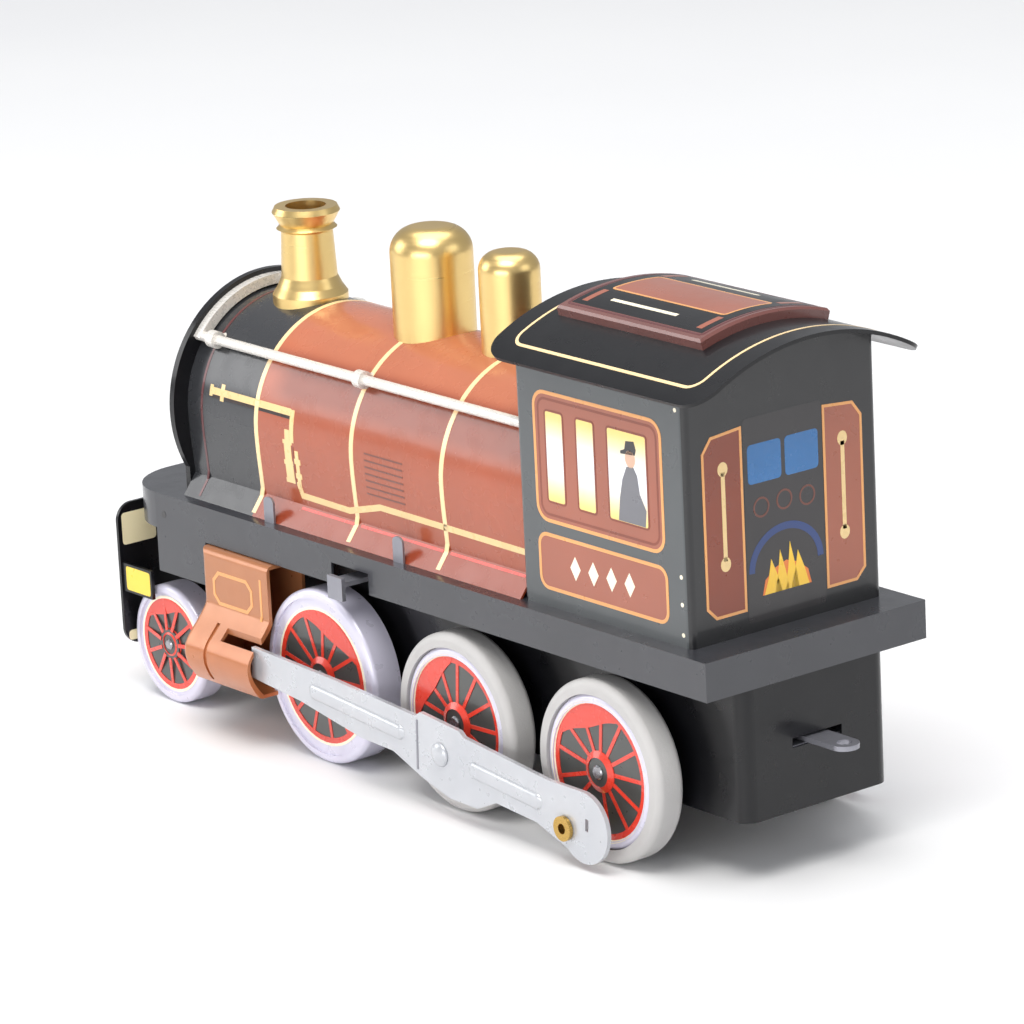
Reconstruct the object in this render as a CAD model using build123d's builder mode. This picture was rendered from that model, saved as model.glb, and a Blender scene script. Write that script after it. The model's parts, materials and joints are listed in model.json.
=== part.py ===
from build123d import *
import os
from math import asin, atan2, cos, degrees, pi, radians, sin, sqrt

os.makedirs("parts", exist_ok=True)

# Tin clockwork locomotive. Millimetres, +X forward, +Y to the left, +Z up.
# The origin is on the ground, in the centre plane, below the middle driving axle.

# ---- overall sizes -------------------------------------------------------------
sheet = 0.6  # tinplate of the body
footplate_top = 48.8
footplate_half = 28.9
footplate_rear = -80.0
footplate_front = 119.0
front_corner = 15.0
valance_depth = 8.0
front_skirt_bottom = 31.0  # the valance is deeper ahead of the cylinders
front_skirt_rear = 86.0
clear = 0.3  # gap between pieces that move past each other
fit = 0.05  # radial clearance of a shaft in its bearing

# ---- wheels --------------------------------------------------------------------
axle_pitch = 46.0
drive_radius = 19.0
tyre_thick = 3.0
tyre_width = 7.0
wheel_face = 29.2  # outer face of the driving wheels
disc_thick = 1.2
hub_radius = 3.4
axle_radius = 1.5
pilot_x = 104.8
pilot_radius = 13.4
pilot_face = 27.0
pilot_width = 6.0
pilot_axle_radius = 1.2

# ---- rods and crank ------------------------------------------------------------
crank_inset = 7.1  # tread to crank pin
crank_radius = drive_radius - crank_inset
crank_angle = -70.0  # degrees above the forward direction, at rest
rod_y = 34.0  # inner face of the rod
rod_thick = 1.0
pin_radius = 1.4
rod_slope = 6.2  # degrees, front end higher
rod_reach = 105.4  # crank pin to the front tip

# ---- boiler --------------------------------------------------------------------
boiler_radius = 23.5
boiler_centre = 67.5
boiler_waist = 22.6  # half width where the skirt pulls in
boiler_foot = 26.0  # half width of the foot flange
foot_rise = 4.5
boiler_front = 97.0
ring_lip = 3.7  # the ring stands this far above the boiler
smokebox_ring_radius = boiler_radius + ring_lip
ring_thick = 1.6

# ---- cab -----------------------------------------------------------------------
cab_rear = -71.6
cab_front = -19.5
cab_half = 25.0
cab_top = 98.4
roof_half = 29.6
roof_eave = 99.4
roof_rise = 9.0
roof_rear = -82.0
roof_front = -15.5
roof_thick = 0.8
roof_corner = 6.0
vent_rear = -68.0
vent_front = -24.0
vent_half = 16.0
vent_height = 2.2
vent_bevel = 0.5

# ---- chimney and domes ---------------------------------------------------------
chimney_setback = 15.3  # boiler front to the chimney's axis
chimney_x = boiler_front - chimney_setback
chimney_top = 111.0
chimney_stem = 6.1
dome_x = 38.0
dome_radius = 8.8
dome_top = 113.0
small_dome_x = 12.0
small_dome_radius = 6.45
small_dome_top = 111.5

# ---- underframe and motor ------------------------------------------------------
frame_half = 19.0
frame_bottom = 13.0
frame_front = 60.0
plate_inner = 8.0  # half gap between the motor plates
plate_thick = 1.0
gear_thick = 1.2
arbor_radius = 1.6
shaft_radius = 1.0
tooth_module = 0.8

axle_z = drive_radius
rear_x = -axle_pitch
middle_x = 0.0
front_x = axle_pitch
axle_gear_teeth = 23
idler_teeth = 38
idler_pinion_teeth = 13
second_teeth = 32
second_pinion_teeth = 11
great_teeth = 47
governor_teeth = 9
axle_gear_radius = tooth_module * axle_gear_teeth / 2
idler_radius = tooth_module * idler_teeth / 2
second_reach = tooth_module * (idler_pinion_teeth + second_teeth) / 2
arbor_reach = tooth_module * (second_pinion_teeth + great_teeth) / 2
governor_reach = tooth_module * (second_teeth + governor_teeth) / 2
second_tilt = radians(25.0)
arbor_tilt = radians(15.0)
governor_tilt = radians(-24.0)
idler_x = rear_x + axle_pitch / 2
idler_z = axle_z + sqrt((axle_gear_radius + idler_radius) ** 2 - (axle_pitch / 2) ** 2)
second_x = idler_x + second_reach * sin(second_tilt)
second_z = idler_z + second_reach * cos(second_tilt)
arbor_x = second_x + arbor_reach * sin(arbor_tilt)
arbor_z = second_z + arbor_reach * cos(arbor_tilt)
governor_x = second_x + governor_reach * cos(governor_tilt)
governor_z = second_z + governor_reach * sin(governor_tilt)
pillar_radius = 1.5
tenon_radius = 1.0
pillar_places = ((-58.0, 20.0), (12.5, 20.0), (-33.0, 58.0), (14.0, 58.0))

# Layers of the gear train across the motor, measured along +Y.
spring_inner = -7.2
spring_outer = -1.2
great_layer = 0.2
ratchet_layer = 1.9
second_layer = 4.0
axle_layer = 6.2

parts = {}


def finish(built, name):
    """Label a finished piece, write its file and keep it for later cuts."""
    built.part.label = name
    export_step(built.part, f"parts/{name}.step")
    parts[name] = built.part


def side_plane(x, y, z, face=1):
    """A plane whose normal runs along +Y (face 1) or -Y (face -1), local y up."""
    return Plane(origin=(x, y, z), x_dir=(-face, 0, 0), z_dir=(0, face, 0))


def gear(x, z, teeth, y_low, thick, bore, phase=0.0):
    """A spur gear with straight-flanked teeth; phase is a tooth's angle above -X."""
    pitch = tooth_module * teeth / 2
    step = 360.0 / teeth
    points = []
    for tooth in range(teeth):
        for reach, share in ((-0.7, -0.34), (0.4, -0.14), (0.4, 0.14), (-0.7, 0.34)):
            angle = radians(phase + (tooth + share) * step)
            radius = pitch + reach * tooth_module
            points.append((radius * cos(angle), radius * sin(angle)))
    with BuildPart() as made:
        with BuildSketch(side_plane(x, y_low, z)):
            with BuildLine():
                Polyline(*points, close=True)
            make_face()
            Circle(bore, mode=Mode.SUBTRACT)
        extrude(amount=thick)
    return made


def mesh_phase(phase, teeth, other_teeth, start, end):
    """Phase of a gear at end that meshes with a gear of this phase at start."""
    direction = degrees(atan2(end[1] - start[1], start[0] - end[0]))
    return direction + 180 - 180 / other_teeth - (phase - direction) * teeth / other_teeth


# ================================================================================
# Body
# ================================================================================

# The footplate is a folded tray: a flat top with valances on both sides and ends.
motor_gap_rear = rear_x - 2.0
motor_gap_front = pillar_places[3][0] + 6.0
motor_gap_half = plate_inner + plate_thick + 0.6
lever_notch_x = 34.0
lever_notch_half = 6.4
lever_notch_height = 4.6
skirt_middle = (front_skirt_rear + footplate_front - front_corner) / 2
cut = 1.0  # how far a cutting tool starts outside what it cuts

with BuildPart() as footplate:
    with BuildSketch(Plane.XY.offset(footplate_top - valance_depth)):
        with Locations(((footplate_rear + footplate_front) / 2, 0)):
            Rectangle(footplate_front - footplate_rear, 2 * footplate_half)
    extrude(amount=valance_depth)
    fillet(footplate.edges().filter_by(Axis.Z).group_by(Axis.X)[-1], front_corner)
    offset(amount=-sheet, openings=footplate.faces().sort_by(Axis.Z)[0])
    with BuildSketch(Plane.XY.offset(footplate_top)):
        with Locations(((motor_gap_rear + motor_gap_front) / 2, 0)):
            Rectangle(motor_gap_front - motor_gap_rear, 2 * motor_gap_half)
    extrude(amount=-2 * sheet, mode=Mode.SUBTRACT)
    with BuildSketch(side_plane(lever_notch_x, footplate_half + cut, footplate_top - valance_depth)):
        Rectangle(2 * lever_notch_half, 2 * lever_notch_height)
    extrude(amount=-2 - sheet, mode=Mode.SUBTRACT)
    for side in (1, -1):
        with BuildSketch(Plane.XY.offset(front_skirt_bottom)):
            with Locations((skirt_middle, side * (footplate_half - sheet / 2))):
                Rectangle(footplate_front - front_corner - front_skirt_rear, sheet)
        extrude(amount=footplate_top - sheet - front_skirt_bottom)
finish(footplate, "footplate")

lever_z = 42.4  # underside of the start lever
lever_thick = 1.0
drawbar_z = 27.0  # middle of the drawbar
drawbar_thick = 1.0
drawbar_slot_half = 6.5

# The underframe is the black box below the footplate: two long sides and a rear wall.
frame_rear = footplate_rear + sheet + 0.4
frame_top = footplate_top - sheet
frame_corner = 3.0
with BuildPart() as underframe:
    with BuildSketch(Plane.XY.offset(frame_bottom)):
        with Locations(((frame_rear + frame_front) / 2, 0)):
            Rectangle(frame_front - frame_rear, 2 * frame_half)
    extrude(amount=frame_top - frame_bottom)
    fillet(underframe.edges().filter_by(Axis.Z).group_by(Axis.X)[0], frame_corner)
    offset(
        amount=-sheet,
        openings=[
            underframe.faces().sort_by(Axis.Z)[0],
            underframe.faces().sort_by(Axis.Z)[-1],
            underframe.faces().sort_by(Axis.X)[-1],
        ],
    )
    for hole_x in (rear_x, middle_x, front_x):
        with BuildSketch(side_plane(hole_x, -frame_half - cut, axle_z)):
            Circle(axle_radius + fit)
        extrude(amount=2 * (frame_half + cut), mode=Mode.SUBTRACT)
    with BuildSketch(side_plane(lever_notch_x, frame_half + cut, lever_z + lever_thick / 2)):
        Rectangle(2 * lever_notch_half, lever_thick + 1.0)
    extrude(amount=-3, mode=Mode.SUBTRACT)
    with BuildSketch(Plane(origin=(frame_rear - cut, 0, drawbar_z), x_dir=(0, 1, 0), z_dir=(1, 0, 0))):
        Rectangle(2 * drawbar_slot_half, drawbar_thick + 1.0)
    extrude(amount=3, mode=Mode.SUBTRACT)
finish(underframe, "underframe")

# The buffer beam stands across the front end and has two tabs folded back from it.
beam_thick = 0.8
beam_bottom = 10.6
beam_top = 43.0
beam_half = 29.0
tab_z = 26.5
tab_height = 6.5
tab_length = 11.0
beam_middle = (beam_bottom + beam_top) / 2
with BuildPart() as buffer_beam:
    with BuildSketch(Plane(origin=(footplate_front, 0, beam_middle), x_dir=(0, 1, 0), z_dir=(1, 0, 0))):
        RectangleRounded(2 * beam_half, beam_top - beam_bottom, 4.0)
    extrude(amount=beam_thick)
    for side in (1, -1):
        with BuildSketch(Plane.XY.offset(tab_z - tab_height / 2)):
            with Locations((footplate_front - tab_length / 2, side * (beam_half - beam_thick))):
                Rectangle(tab_length, beam_thick)
        extrude(amount=tab_height)
finish(buffer_beam, "buffer_beam")


def boiler_outline(inset=0.0):
    """The horseshoe section of the boiler: a round top, a waist and flared feet."""
    radius = boiler_radius - inset
    waist = boiler_waist - inset
    foot = boiler_foot - inset
    base = footplate_top - boiler_centre
    with BuildSketch() as outline:
        with BuildLine():
            RadiusArc((radius, 0), (-radius, 0), -radius)
            Spline((-radius, 0), (-waist, base + foot_rise), tangents=((0, -1), (0.05, -1)))
            Line((-waist, base + foot_rise), (-foot, base))
            Line((-foot, base), (foot, base))
            Line((foot, base), (waist, base + foot_rise))
            Spline((waist, base + foot_rise), (radius, 0), tangents=((0.05, 1), (0, 1)))
        make_face()
    return outline.sketch


def cross_plane(x):
    """A plane across the engine, facing forward, with its origin on the boiler axis."""
    return Plane(origin=(x, 0, boiler_centre), x_dir=(0, 1, 0), z_dir=(1, 0, 0))


boiler_rear = cab_front
key_hole = 2.6
chimney_bore = 4.4
with BuildPart() as boiler_shell:
    with BuildSketch(cross_plane(boiler_rear)):
        add(boiler_outline())
    extrude(amount=boiler_front - boiler_rear)
    with BuildSketch(cross_plane(boiler_rear - cut)):
        add(boiler_outline(sheet))
    extrude(amount=boiler_front - boiler_rear + 2 * cut, mode=Mode.SUBTRACT)
    with BuildSketch(side_plane(arbor_x, 0, arbor_z, -1)):
        Circle(key_hole)
    extrude(amount=boiler_radius + boiler_foot, mode=Mode.SUBTRACT)
    with BuildSketch(Plane.XY.offset(boiler_centre)):
        with Locations((chimney_x, 0)):
            Circle(chimney_bore)
    extrude(amount=boiler_radius + 2, mode=Mode.SUBTRACT)
finish(boiler_shell, "boiler_shell")

# The smokebox front is one pressing: a flanged ring, a plate and a domed door.
door_radius = 17.5
door_dome = 2.4
ring_height = footplate_top - boiler_centre
with BuildPart() as smokebox_front:
    with BuildSketch(cross_plane(boiler_front)):
        Circle(smokebox_ring_radius)
        with Locations((0, ring_height / 2)):
            Rectangle(2 * (boiler_foot - 2.0), -ring_height)
        with Locations((0, ring_height - smokebox_ring_radius)):
            Rectangle(4 * smokebox_ring_radius, 2 * smokebox_ring_radius, mode=Mode.SUBTRACT)
    extrude(amount=ring_thick)
    with BuildSketch(cross_plane(boiler_front + ring_thick)):
        Circle(door_radius)
    extrude(amount=door_dome, taper=25)
    fillet(smokebox_front.faces().sort_by(Axis.X)[-1].edges(), 1.0)
finish(smokebox_front, "smokebox_front")

# One bent wire makes both handrails and the arch over the smokebox front.
rail_radius = 1.1
rail_gap = 1.583  # boiler to the wire's centre line
rail_angle = radians(39.34)  # above the horizontal, round the boiler's axis
rail_arch = boiler_radius + rail_gap
rail_y = rail_arch * cos(rail_angle)
rail_z = boiler_centre + rail_arch * sin(rail_angle)
rail_front = boiler_front
arch_angle = degrees(atan2(rail_z - boiler_centre, rail_y)) - 2.0
rails = []
for side in (1, -1):
    with BuildPart() as rail:
        with BuildSketch(cross_plane(cab_front)):
            with Locations((side * rail_y, rail_z - boiler_centre)):
                Circle(rail_radius)
        extrude(amount=rail_front - cab_front)
    rails.append(rail.part)
with BuildPart() as handrails:
    for rail_part in rails:
        add(rail_part)
    with BuildSketch(cross_plane(boiler_front - 2 * rail_radius)):
        with BuildLine():
            near = CenterArc((0, 0), rail_arch - rail_radius, arch_angle, 180 - 2 * arch_angle)
            far = CenterArc((0, 0), rail_arch + rail_radius, arch_angle, 180 - 2 * arch_angle)
            Line(near @ 0, far @ 0)
            Line(near @ 1, far @ 1)
        make_face()
    extrude(amount=2 * rail_radius)
finish(handrails, "handrails")

# Turned knobs hold the straight rails off the boiler, two on each side.
knob_radius = 1.9
knob_length = 2.4
knob_stem = 0.9
knob_places = (boiler_front - 6.0, (boiler_front + cab_front) / 2)
knob_reach = rail_y - sqrt(boiler_radius**2 - (rail_z - boiler_centre) ** 2) + 1.0
with BuildPart() as handrail_knobs:
    for side in (1, -1):
        for knob_x in knob_places:
            with BuildSketch(cross_plane(knob_x - knob_length / 2)):
                with Locations((side * rail_y, rail_z - boiler_centre)):
                    Circle(knob_radius)
            extrude(amount=knob_length)
            with BuildSketch(side_plane(knob_x, side * rail_y, rail_z, -side)):
                Circle(knob_stem)
            extrude(amount=knob_reach)
    for rail_part in rails:
        add(rail_part, mode=Mode.SUBTRACT)
    with BuildSketch(cross_plane(cab_front)):
        Circle(boiler_radius)
    extrude(amount=boiler_front - cab_front, mode=Mode.SUBTRACT)
finish(handrail_knobs, "handrail_knobs")

# Chimney: a turned tube on a flared base that follows the smokebox.
chimney_rim = 7.4
chimney_base = 8.2
chimney_foot = boiler_centre + boiler_radius
with BuildPart() as chimney:
    with BuildSketch(Plane.XZ.shift_origin((chimney_x, 0, chimney_foot))):
        with BuildLine():
            Polyline(
                (chimney_bore, -3.0),
                (chimney_base, -3.0),
                (chimney_base, 0.8),
                (chimney_stem + 1.0, 2.4),
                (chimney_stem, 4.6),
                (chimney_stem - 0.5, chimney_top - chimney_foot - 5.4),
                (chimney_stem + 0.5, chimney_top - chimney_foot - 4.8),
                (chimney_stem - 0.3, chimney_top - chimney_foot - 4.0),
                (chimney_rim, chimney_top - chimney_foot - 1.2),
                (chimney_rim - 0.6, chimney_top - chimney_foot),
                (chimney_bore, chimney_top - chimney_foot),
                close=True,
            )
        make_face()
    revolve(axis=Axis((chimney_x, 0, 0), (0, 0, 1)))
    with BuildSketch(cross_plane(chimney_x - 2 * chimney_base)):
        Circle(boiler_radius)
    extrude(amount=4 * chimney_base, mode=Mode.SUBTRACT)
finish(chimney, "chimney")


def turned_dome(x, radius, top):
    """A drawn brass dome with a rounded crown, seated on the boiler."""
    crown = 0.62 * radius
    with BuildPart() as made:
        with BuildSketch(Plane.XY.offset(chimney_foot - 6.0)):
            with Locations((x, 0)):
                Circle(radius)
        extrude(amount=top - chimney_foot + 6.0)
        fillet(made.edges().group_by(Axis.Z)[-1], crown)
        with BuildSketch(Plane.XY.offset(chimney_foot - 7.0)):
            with Locations((x, 0)):
                Circle(radius - 1.0)
        extrude(amount=top - chimney_foot + 7.0 - crown, mode=Mode.SUBTRACT)
        with BuildSketch(cross_plane(x - 2 * radius)):
            Circle(boiler_radius)
        extrude(amount=4 * radius, mode=Mode.SUBTRACT)
    return made


steam_dome = turned_dome(dome_x, dome_radius, dome_top)
finish(steam_dome, "steam_dome")
safety_dome = turned_dome(small_dome_x, small_dome_radius, small_dome_top)
finish(safety_dome, "safety_dome")

# The boiler is held by bent tin tabs that come up through slots in the footplate.
tab_places = (65.0, 20.0)
foot_tab_width = 3.4
foot_tab_rise = 5.6
foot_tab_thick = 0.5
foot_tab_y = boiler_foot + 0.05
with BuildPart() as boiler_tabs:
    for side in (1, -1):
        for tab_x in tab_places:
            with BuildSketch(Plane.XY.offset(footplate_top)):
                with Locations((tab_x, side * (foot_tab_y + foot_tab_thick / 2))):
                    Rectangle(foot_tab_width, foot_tab_thick)
            extrude(amount=foot_tab_rise)
    across = boiler_tabs.edges().filter_by(Axis.Y)
    tab_tops = across.filter_by(lambda edge: edge.center().Z > footplate_top + foot_tab_rise / 2)
    fillet(tab_tops, 0.4 * foot_tab_width)
finish(boiler_tabs, "boiler_tabs")

# Cab: one folded sheet for the sides and rear wall, and a front wall round the boiler.
cab_corner = 1.5
with BuildPart() as cab_shell:
    with BuildSketch(Plane.XY.offset(footplate_top)):
        with Locations(((cab_rear + cab_front) / 2, 0)):
            Rectangle(cab_front - cab_rear, 2 * cab_half)
    extrude(amount=cab_top + roof_rise - footplate_top)
    fillet(cab_shell.edges().filter_by(Axis.Z), cab_corner)
    offset(
        amount=-sheet,
        openings=[cab_shell.faces().sort_by(Axis.Z)[0], cab_shell.faces().sort_by(Axis.Z)[-1]],
    )
    with BuildSketch(cross_plane(cab_front - 2 * sheet)):
        add(boiler_outline(sheet))
    extrude(amount=4 * sheet, mode=Mode.SUBTRACT)


def roof_radius():
    """Radius of the roof's underside arch, from its half width and rise."""
    return (roof_half**2 + roof_rise**2) / (2 * roof_rise)


roof_centre = roof_eave + roof_rise - roof_radius()
with BuildPart() as under_roof:
    with BuildSketch(Plane(origin=(cab_rear - 5, 0, roof_centre), x_dir=(0, 1, 0), z_dir=(1, 0, 0))):
        Circle(3 * roof_radius())
        Circle(roof_radius() - 0.02, mode=Mode.SUBTRACT)
    extrude(amount=cab_front - cab_rear + 10)
with BuildPart() as cab_shell_cut:
    add(cab_shell.part)
    add(under_roof.part, mode=Mode.SUBTRACT)
finish(cab_shell_cut, "cab_shell")

# Roof: an arched sheet whose long edges are the eaves.
roof_span = degrees(asin(roof_half / roof_radius()))
with BuildPart() as roof:
    with BuildSketch(Plane(origin=(roof_rear, 0, roof_centre), x_dir=(0, 1, 0), z_dir=(1, 0, 0))):
        with BuildLine():
            inner = CenterArc((0, 0), roof_radius(), 90 - roof_span, 2 * roof_span)
            outer = CenterArc((0, 0), roof_radius() + roof_thick, 90 - roof_span, 2 * roof_span)
            Line(inner @ 0, outer @ 0)
            Line(inner @ 1, outer @ 1)
        make_face()
    extrude(amount=roof_front - roof_rear)
    fillet(roof.edges().filter_by(lambda edge: edge.length < 1.5 * roof_thick), roof_corner)
finish(roof, "roof")

# Ventilator: a raised box on the roof that follows the arch.
vent_span = degrees(asin(vent_half / roof_radius()))
vent_outer = roof_radius() + roof_thick + vent_height
with BuildPart() as roof_ventilator:
    with BuildSketch(Plane(origin=(vent_rear, 0, roof_centre), x_dir=(0, 1, 0), z_dir=(1, 0, 0))):
        with BuildLine():
            inner = CenterArc((0, 0), roof_radius() + roof_thick, 90 - vent_span, 2 * vent_span)
            outer = CenterArc((0, 0), vent_outer, 90 - vent_span, 2 * vent_span)
            Line(inner @ 0, outer @ 0)
            Line(inner @ 1, outer @ 1)
        make_face()
    extrude(amount=vent_front - vent_rear)
    chamfer(roof_ventilator.faces().sort_by(Axis.Z)[-1].edges(), vent_bevel)
finish(roof_ventilator, "roof_ventilator")

# Cylinders: pressed shells below the footplate, open behind, where the rods work.
cylinder_rear = 61.0
cylinder_front = 85.0
cylinder_top = footplate_top - valance_depth - 0.2
cylinder_step = axle_z + 8.0  # where the block meets the barrel
cylinder_bottom = axle_z - 7.0
cylinder_wall = 0.8
block_half = 31.0
barrel_half = 37.4
barrel_bottom_half = 34.4
cylinder_inner = frame_half + 2.0
slot_front = cylinder_rear + 12.0
cylinder_round = 1.6  # rounding of the pressing's outer edges
groove_x = 76.0  # pressed line down the barrel
groove_width = 1.1
groove_depth = 0.4
groove_margin = 1.5


def cylinder_section(side, inset=0.0):
    """Section of a cylinder casing seen from the front: block above, barrel below."""
    inner = side * (cylinder_inner + inset)
    block = side * (block_half - inset)
    barrel = side * (barrel_half - inset)
    top = cylinder_top - inset
    bottom = cylinder_bottom + inset
    with BuildSketch() as outline:
        with BuildLine():
            Line((inner, top), (block, top))
            Line((block, top), (block, cylinder_step + 1.5 - inset))
            Spline(
                (block, cylinder_step + 1.5 - inset),
                (barrel, (cylinder_step + bottom) / 2),
                (side * (barrel_bottom_half - inset), bottom),
                tangents=((side * 0.6, -1), (-side * 0.9, -1)),
            )
            Line((side * (barrel_bottom_half - inset), bottom), (inner, bottom))
            Line((inner, bottom), (inner, top))
        make_face()
    return outline.sketch


def cylinder_casing(side):
    """One cylinder: a closed casing with an open rear and a slot for the rod."""
    with BuildPart() as made:
        with BuildSketch(Plane(origin=(cylinder_rear, 0, 0), x_dir=(0, 1, 0), z_dir=(1, 0, 0))):
            add(cylinder_section(side))
        extrude(amount=cylinder_front - cylinder_rear)
        along = made.edges().filter_by(Axis.X).filter_by(lambda edge: abs(edge.center().Y) > block_half - 1)
        front_face = made.faces().sort_by(Axis.X)[-1]
        outer_front = front_face.edges().filter_by(lambda edge: abs(edge.center().Y) > block_half - 1)
        fillet(along + outer_front, cylinder_round)
        with BuildSketch(Plane(origin=(cylinder_rear - cut, 0, 0), x_dir=(0, 1, 0), z_dir=(1, 0, 0))):
            add(cylinder_section(side, cylinder_wall))
        extrude(amount=cylinder_front - cylinder_rear + cut - cylinder_wall, mode=Mode.SUBTRACT)
        with BuildSketch(Plane.XY.offset(axle_z)):
            with Locations((slot_front - (cylinder_front - cylinder_rear), side * (rod_y + rod_thick / 2))):
                Rectangle(2 * (cylinder_front - cylinder_rear), rod_thick + 2 * clear + 0.6)
        extrude(amount=footplate_top - axle_z, mode=Mode.SUBTRACT)
        with BuildSketch(side_plane(front_x, side * (wheel_face + 2 * clear), axle_z, -side)):
            Circle(drive_radius + 2 * clear)
        extrude(amount=wheel_face, mode=Mode.SUBTRACT)
        with BuildSketch(Plane(origin=(groove_x, 0, 0), x_dir=(0, 1, 0), z_dir=(1, 0, 0))):
            add(cylinder_section(side, -groove_depth))
            add(cylinder_section(side, groove_depth), mode=Mode.SUBTRACT)
            with Locations((side * barrel_half, (cylinder_step + cylinder_bottom) / 2)):
                groove_height = cylinder_step - cylinder_bottom - 2 * groove_margin
                Rectangle(barrel_half - block_half + barrel_half, groove_height, mode=Mode.INTERSECT)
        extrude(amount=groove_width, mode=Mode.SUBTRACT)
    return made


for side, name in ((1, "cylinder_left"), (-1, "cylinder_right")):
    finish(cylinder_casing(side), name)

# ================================================================================
# Wheels and rods
# ================================================================================

rim_radius = drive_radius - tyre_thick
pin_x = rear_x + crank_radius * cos(radians(crank_angle))
pin_z = axle_z + crank_radius * sin(radians(crank_angle))
disc_recess = 0.6  # the pressed disc lies this far behind the rim's edge
rim_width = 1.8
rim_wall = 1.0
rim_round = 1.2
tyre_round = 1.6
tyre_stand = 0.3  # the tyre stands this far outside the wheel's face


def wheel(x, z, side, radius, face, width, bore, pin_hole=None):
    """A pressed wheel: a cup with its disc outside, a rolled edge and a hub."""
    outer = side * face
    inner = side * (face - width)
    with BuildPart() as made:
        with BuildSketch(side_plane(x, outer, z, -side)):
            Circle(radius)
        extrude(amount=width)
        edge = made.faces().sort_by(Axis.Y)[-1 if side > 0 else 0].edges()
        fillet(edge, rim_round)
        with BuildSketch(side_plane(x, outer, z, -side)):
            Circle(radius - rim_width)
        extrude(amount=disc_recess, mode=Mode.SUBTRACT)
        with BuildSketch(side_plane(x, inner, z, side)):
            Circle(radius - rim_wall)
        extrude(amount=width - disc_recess - disc_thick, mode=Mode.SUBTRACT)
        with BuildSketch(side_plane(x, inner, z, side)):
            Circle(hub_radius)
        extrude(amount=width)
        with BuildSketch(side_plane(x, inner, z, side)):
            Circle(bore)
        extrude(amount=2 * width, mode=Mode.SUBTRACT)
        if pin_hole:
            with BuildSketch(side_plane(pin_hole[0], inner, pin_hole[1], side)):
                Circle(pin_radius)
            extrude(amount=2 * width, mode=Mode.SUBTRACT)
    return made


def tyre(x, side):
    """A rubber ring with rounded edges on a driving wheel's rim."""
    with BuildPart() as made:
        with BuildSketch(side_plane(x, side * (wheel_face + tyre_stand), axle_z, -side)):
            Circle(drive_radius)
            Circle(rim_radius, mode=Mode.SUBTRACT)
        extrude(amount=tyre_width)
        rings = made.edges().filter_by(GeomType.CIRCLE)
        fillet(rings.filter_by(lambda ring: ring.radius > drive_radius - 0.1), tyre_round)
    return made


def axle(x, z, radius, half_length):
    """A plain round axle with lightly chamfered ends."""
    with BuildPart() as made:
        with BuildSketch(side_plane(x, -half_length, z)):
            Circle(radius)
        extrude(amount=2 * half_length)
        chamfer(made.edges().filter_by(GeomType.CIRCLE), 0.3)
    return made


sides = (("left", 1), ("right", -1))
for prefix, x in (("rear", rear_x), ("middle", middle_x)):
    for name, side in sides:
        pin_hole = (pin_x, pin_z) if prefix == "rear" else None
        built = wheel(x, axle_z, side, rim_radius, wheel_face, tyre_width, axle_radius, pin_hole)
        finish(built, f"{prefix}_wheel_{name}")
        finish(tyre(x, side), f"{prefix}_tyre_{name}")
for name, side in sides:
    built = wheel(front_x, axle_z, side, drive_radius, wheel_face, tyre_width, axle_radius)
    finish(built, f"front_wheel_{name}")
    built = wheel(pilot_x, pilot_radius, side, pilot_radius, pilot_face, pilot_width, pilot_axle_radius)
    finish(built, f"pilot_wheel_{name}")
for prefix, x in (("rear", rear_x), ("middle", middle_x), ("front", front_x)):
    finish(axle(x, axle_z, axle_radius, wheel_face + 0.5), f"{prefix}_axle")
finish(axle(pilot_x, pilot_radius, pilot_axle_radius, pilot_face + 0.5), "pilot_axle")

# Crank pins: shouldered pins in the rear wheels, with a brass eyelet head outside.
pin_shoulder = 2.3
pin_head = 2.6
pin_head_thick = 0.8
pin_head_start = rod_y + rod_thick + 0.2
eyelet_bore = 1.1
eyelet_depth = 1.4
pin_start = wheel_face - disc_recess - disc_thick
with BuildPart() as crank_pins:
    for side in (1, -1):
        with BuildSketch(side_plane(pin_x, side * pin_start, pin_z, side)):
            Circle(pin_radius)
        extrude(amount=rod_y + rod_thick + 0.2 - pin_start)
        with BuildSketch(side_plane(pin_x, side * (wheel_face - disc_recess), pin_z, side)):
            Circle(pin_shoulder)
        extrude(amount=rod_y - 0.2 - (wheel_face - disc_recess))
        with BuildSketch(side_plane(pin_x, side * pin_head_start, pin_z, side)):
            Circle(pin_head)
        extrude(amount=pin_head_thick)
        with BuildSketch(side_plane(pin_x, side * (pin_head_start + pin_head_thick), pin_z, -side)):
            Circle(eyelet_bore)
        extrude(amount=eyelet_depth, mode=Mode.SUBTRACT)
finish(crank_pins, "crank_pins")

# Pilot carrier: a bent strip under the front of the footplate that holds the pilot axle.
carrier_half = 15.0
carrier_width = 10.0
carrier_thick = 1.0
carrier_top = footplate_top - sheet
with BuildPart() as pilot_carrier:
    with BuildSketch(Plane.XY.offset(carrier_top - carrier_thick)):
        with Locations((pilot_x, 0)):
            Rectangle(carrier_width, 2 * carrier_half)
    extrude(amount=carrier_thick)
    for side in (1, -1):
        with BuildSketch(side_plane(pilot_x, side * carrier_half, 0, -side)):
            with Locations((0, (carrier_top + pilot_radius) / 2)):
                Rectangle(carrier_width, carrier_top - pilot_radius)
            with Locations((0, pilot_radius)):
                Circle(carrier_width / 2)
            with Locations((0, pilot_radius)):
                Circle(pilot_axle_radius + fit, mode=Mode.SUBTRACT)
        extrude(amount=carrier_thick)
finish(pilot_carrier, "pilot_carrier")

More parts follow.
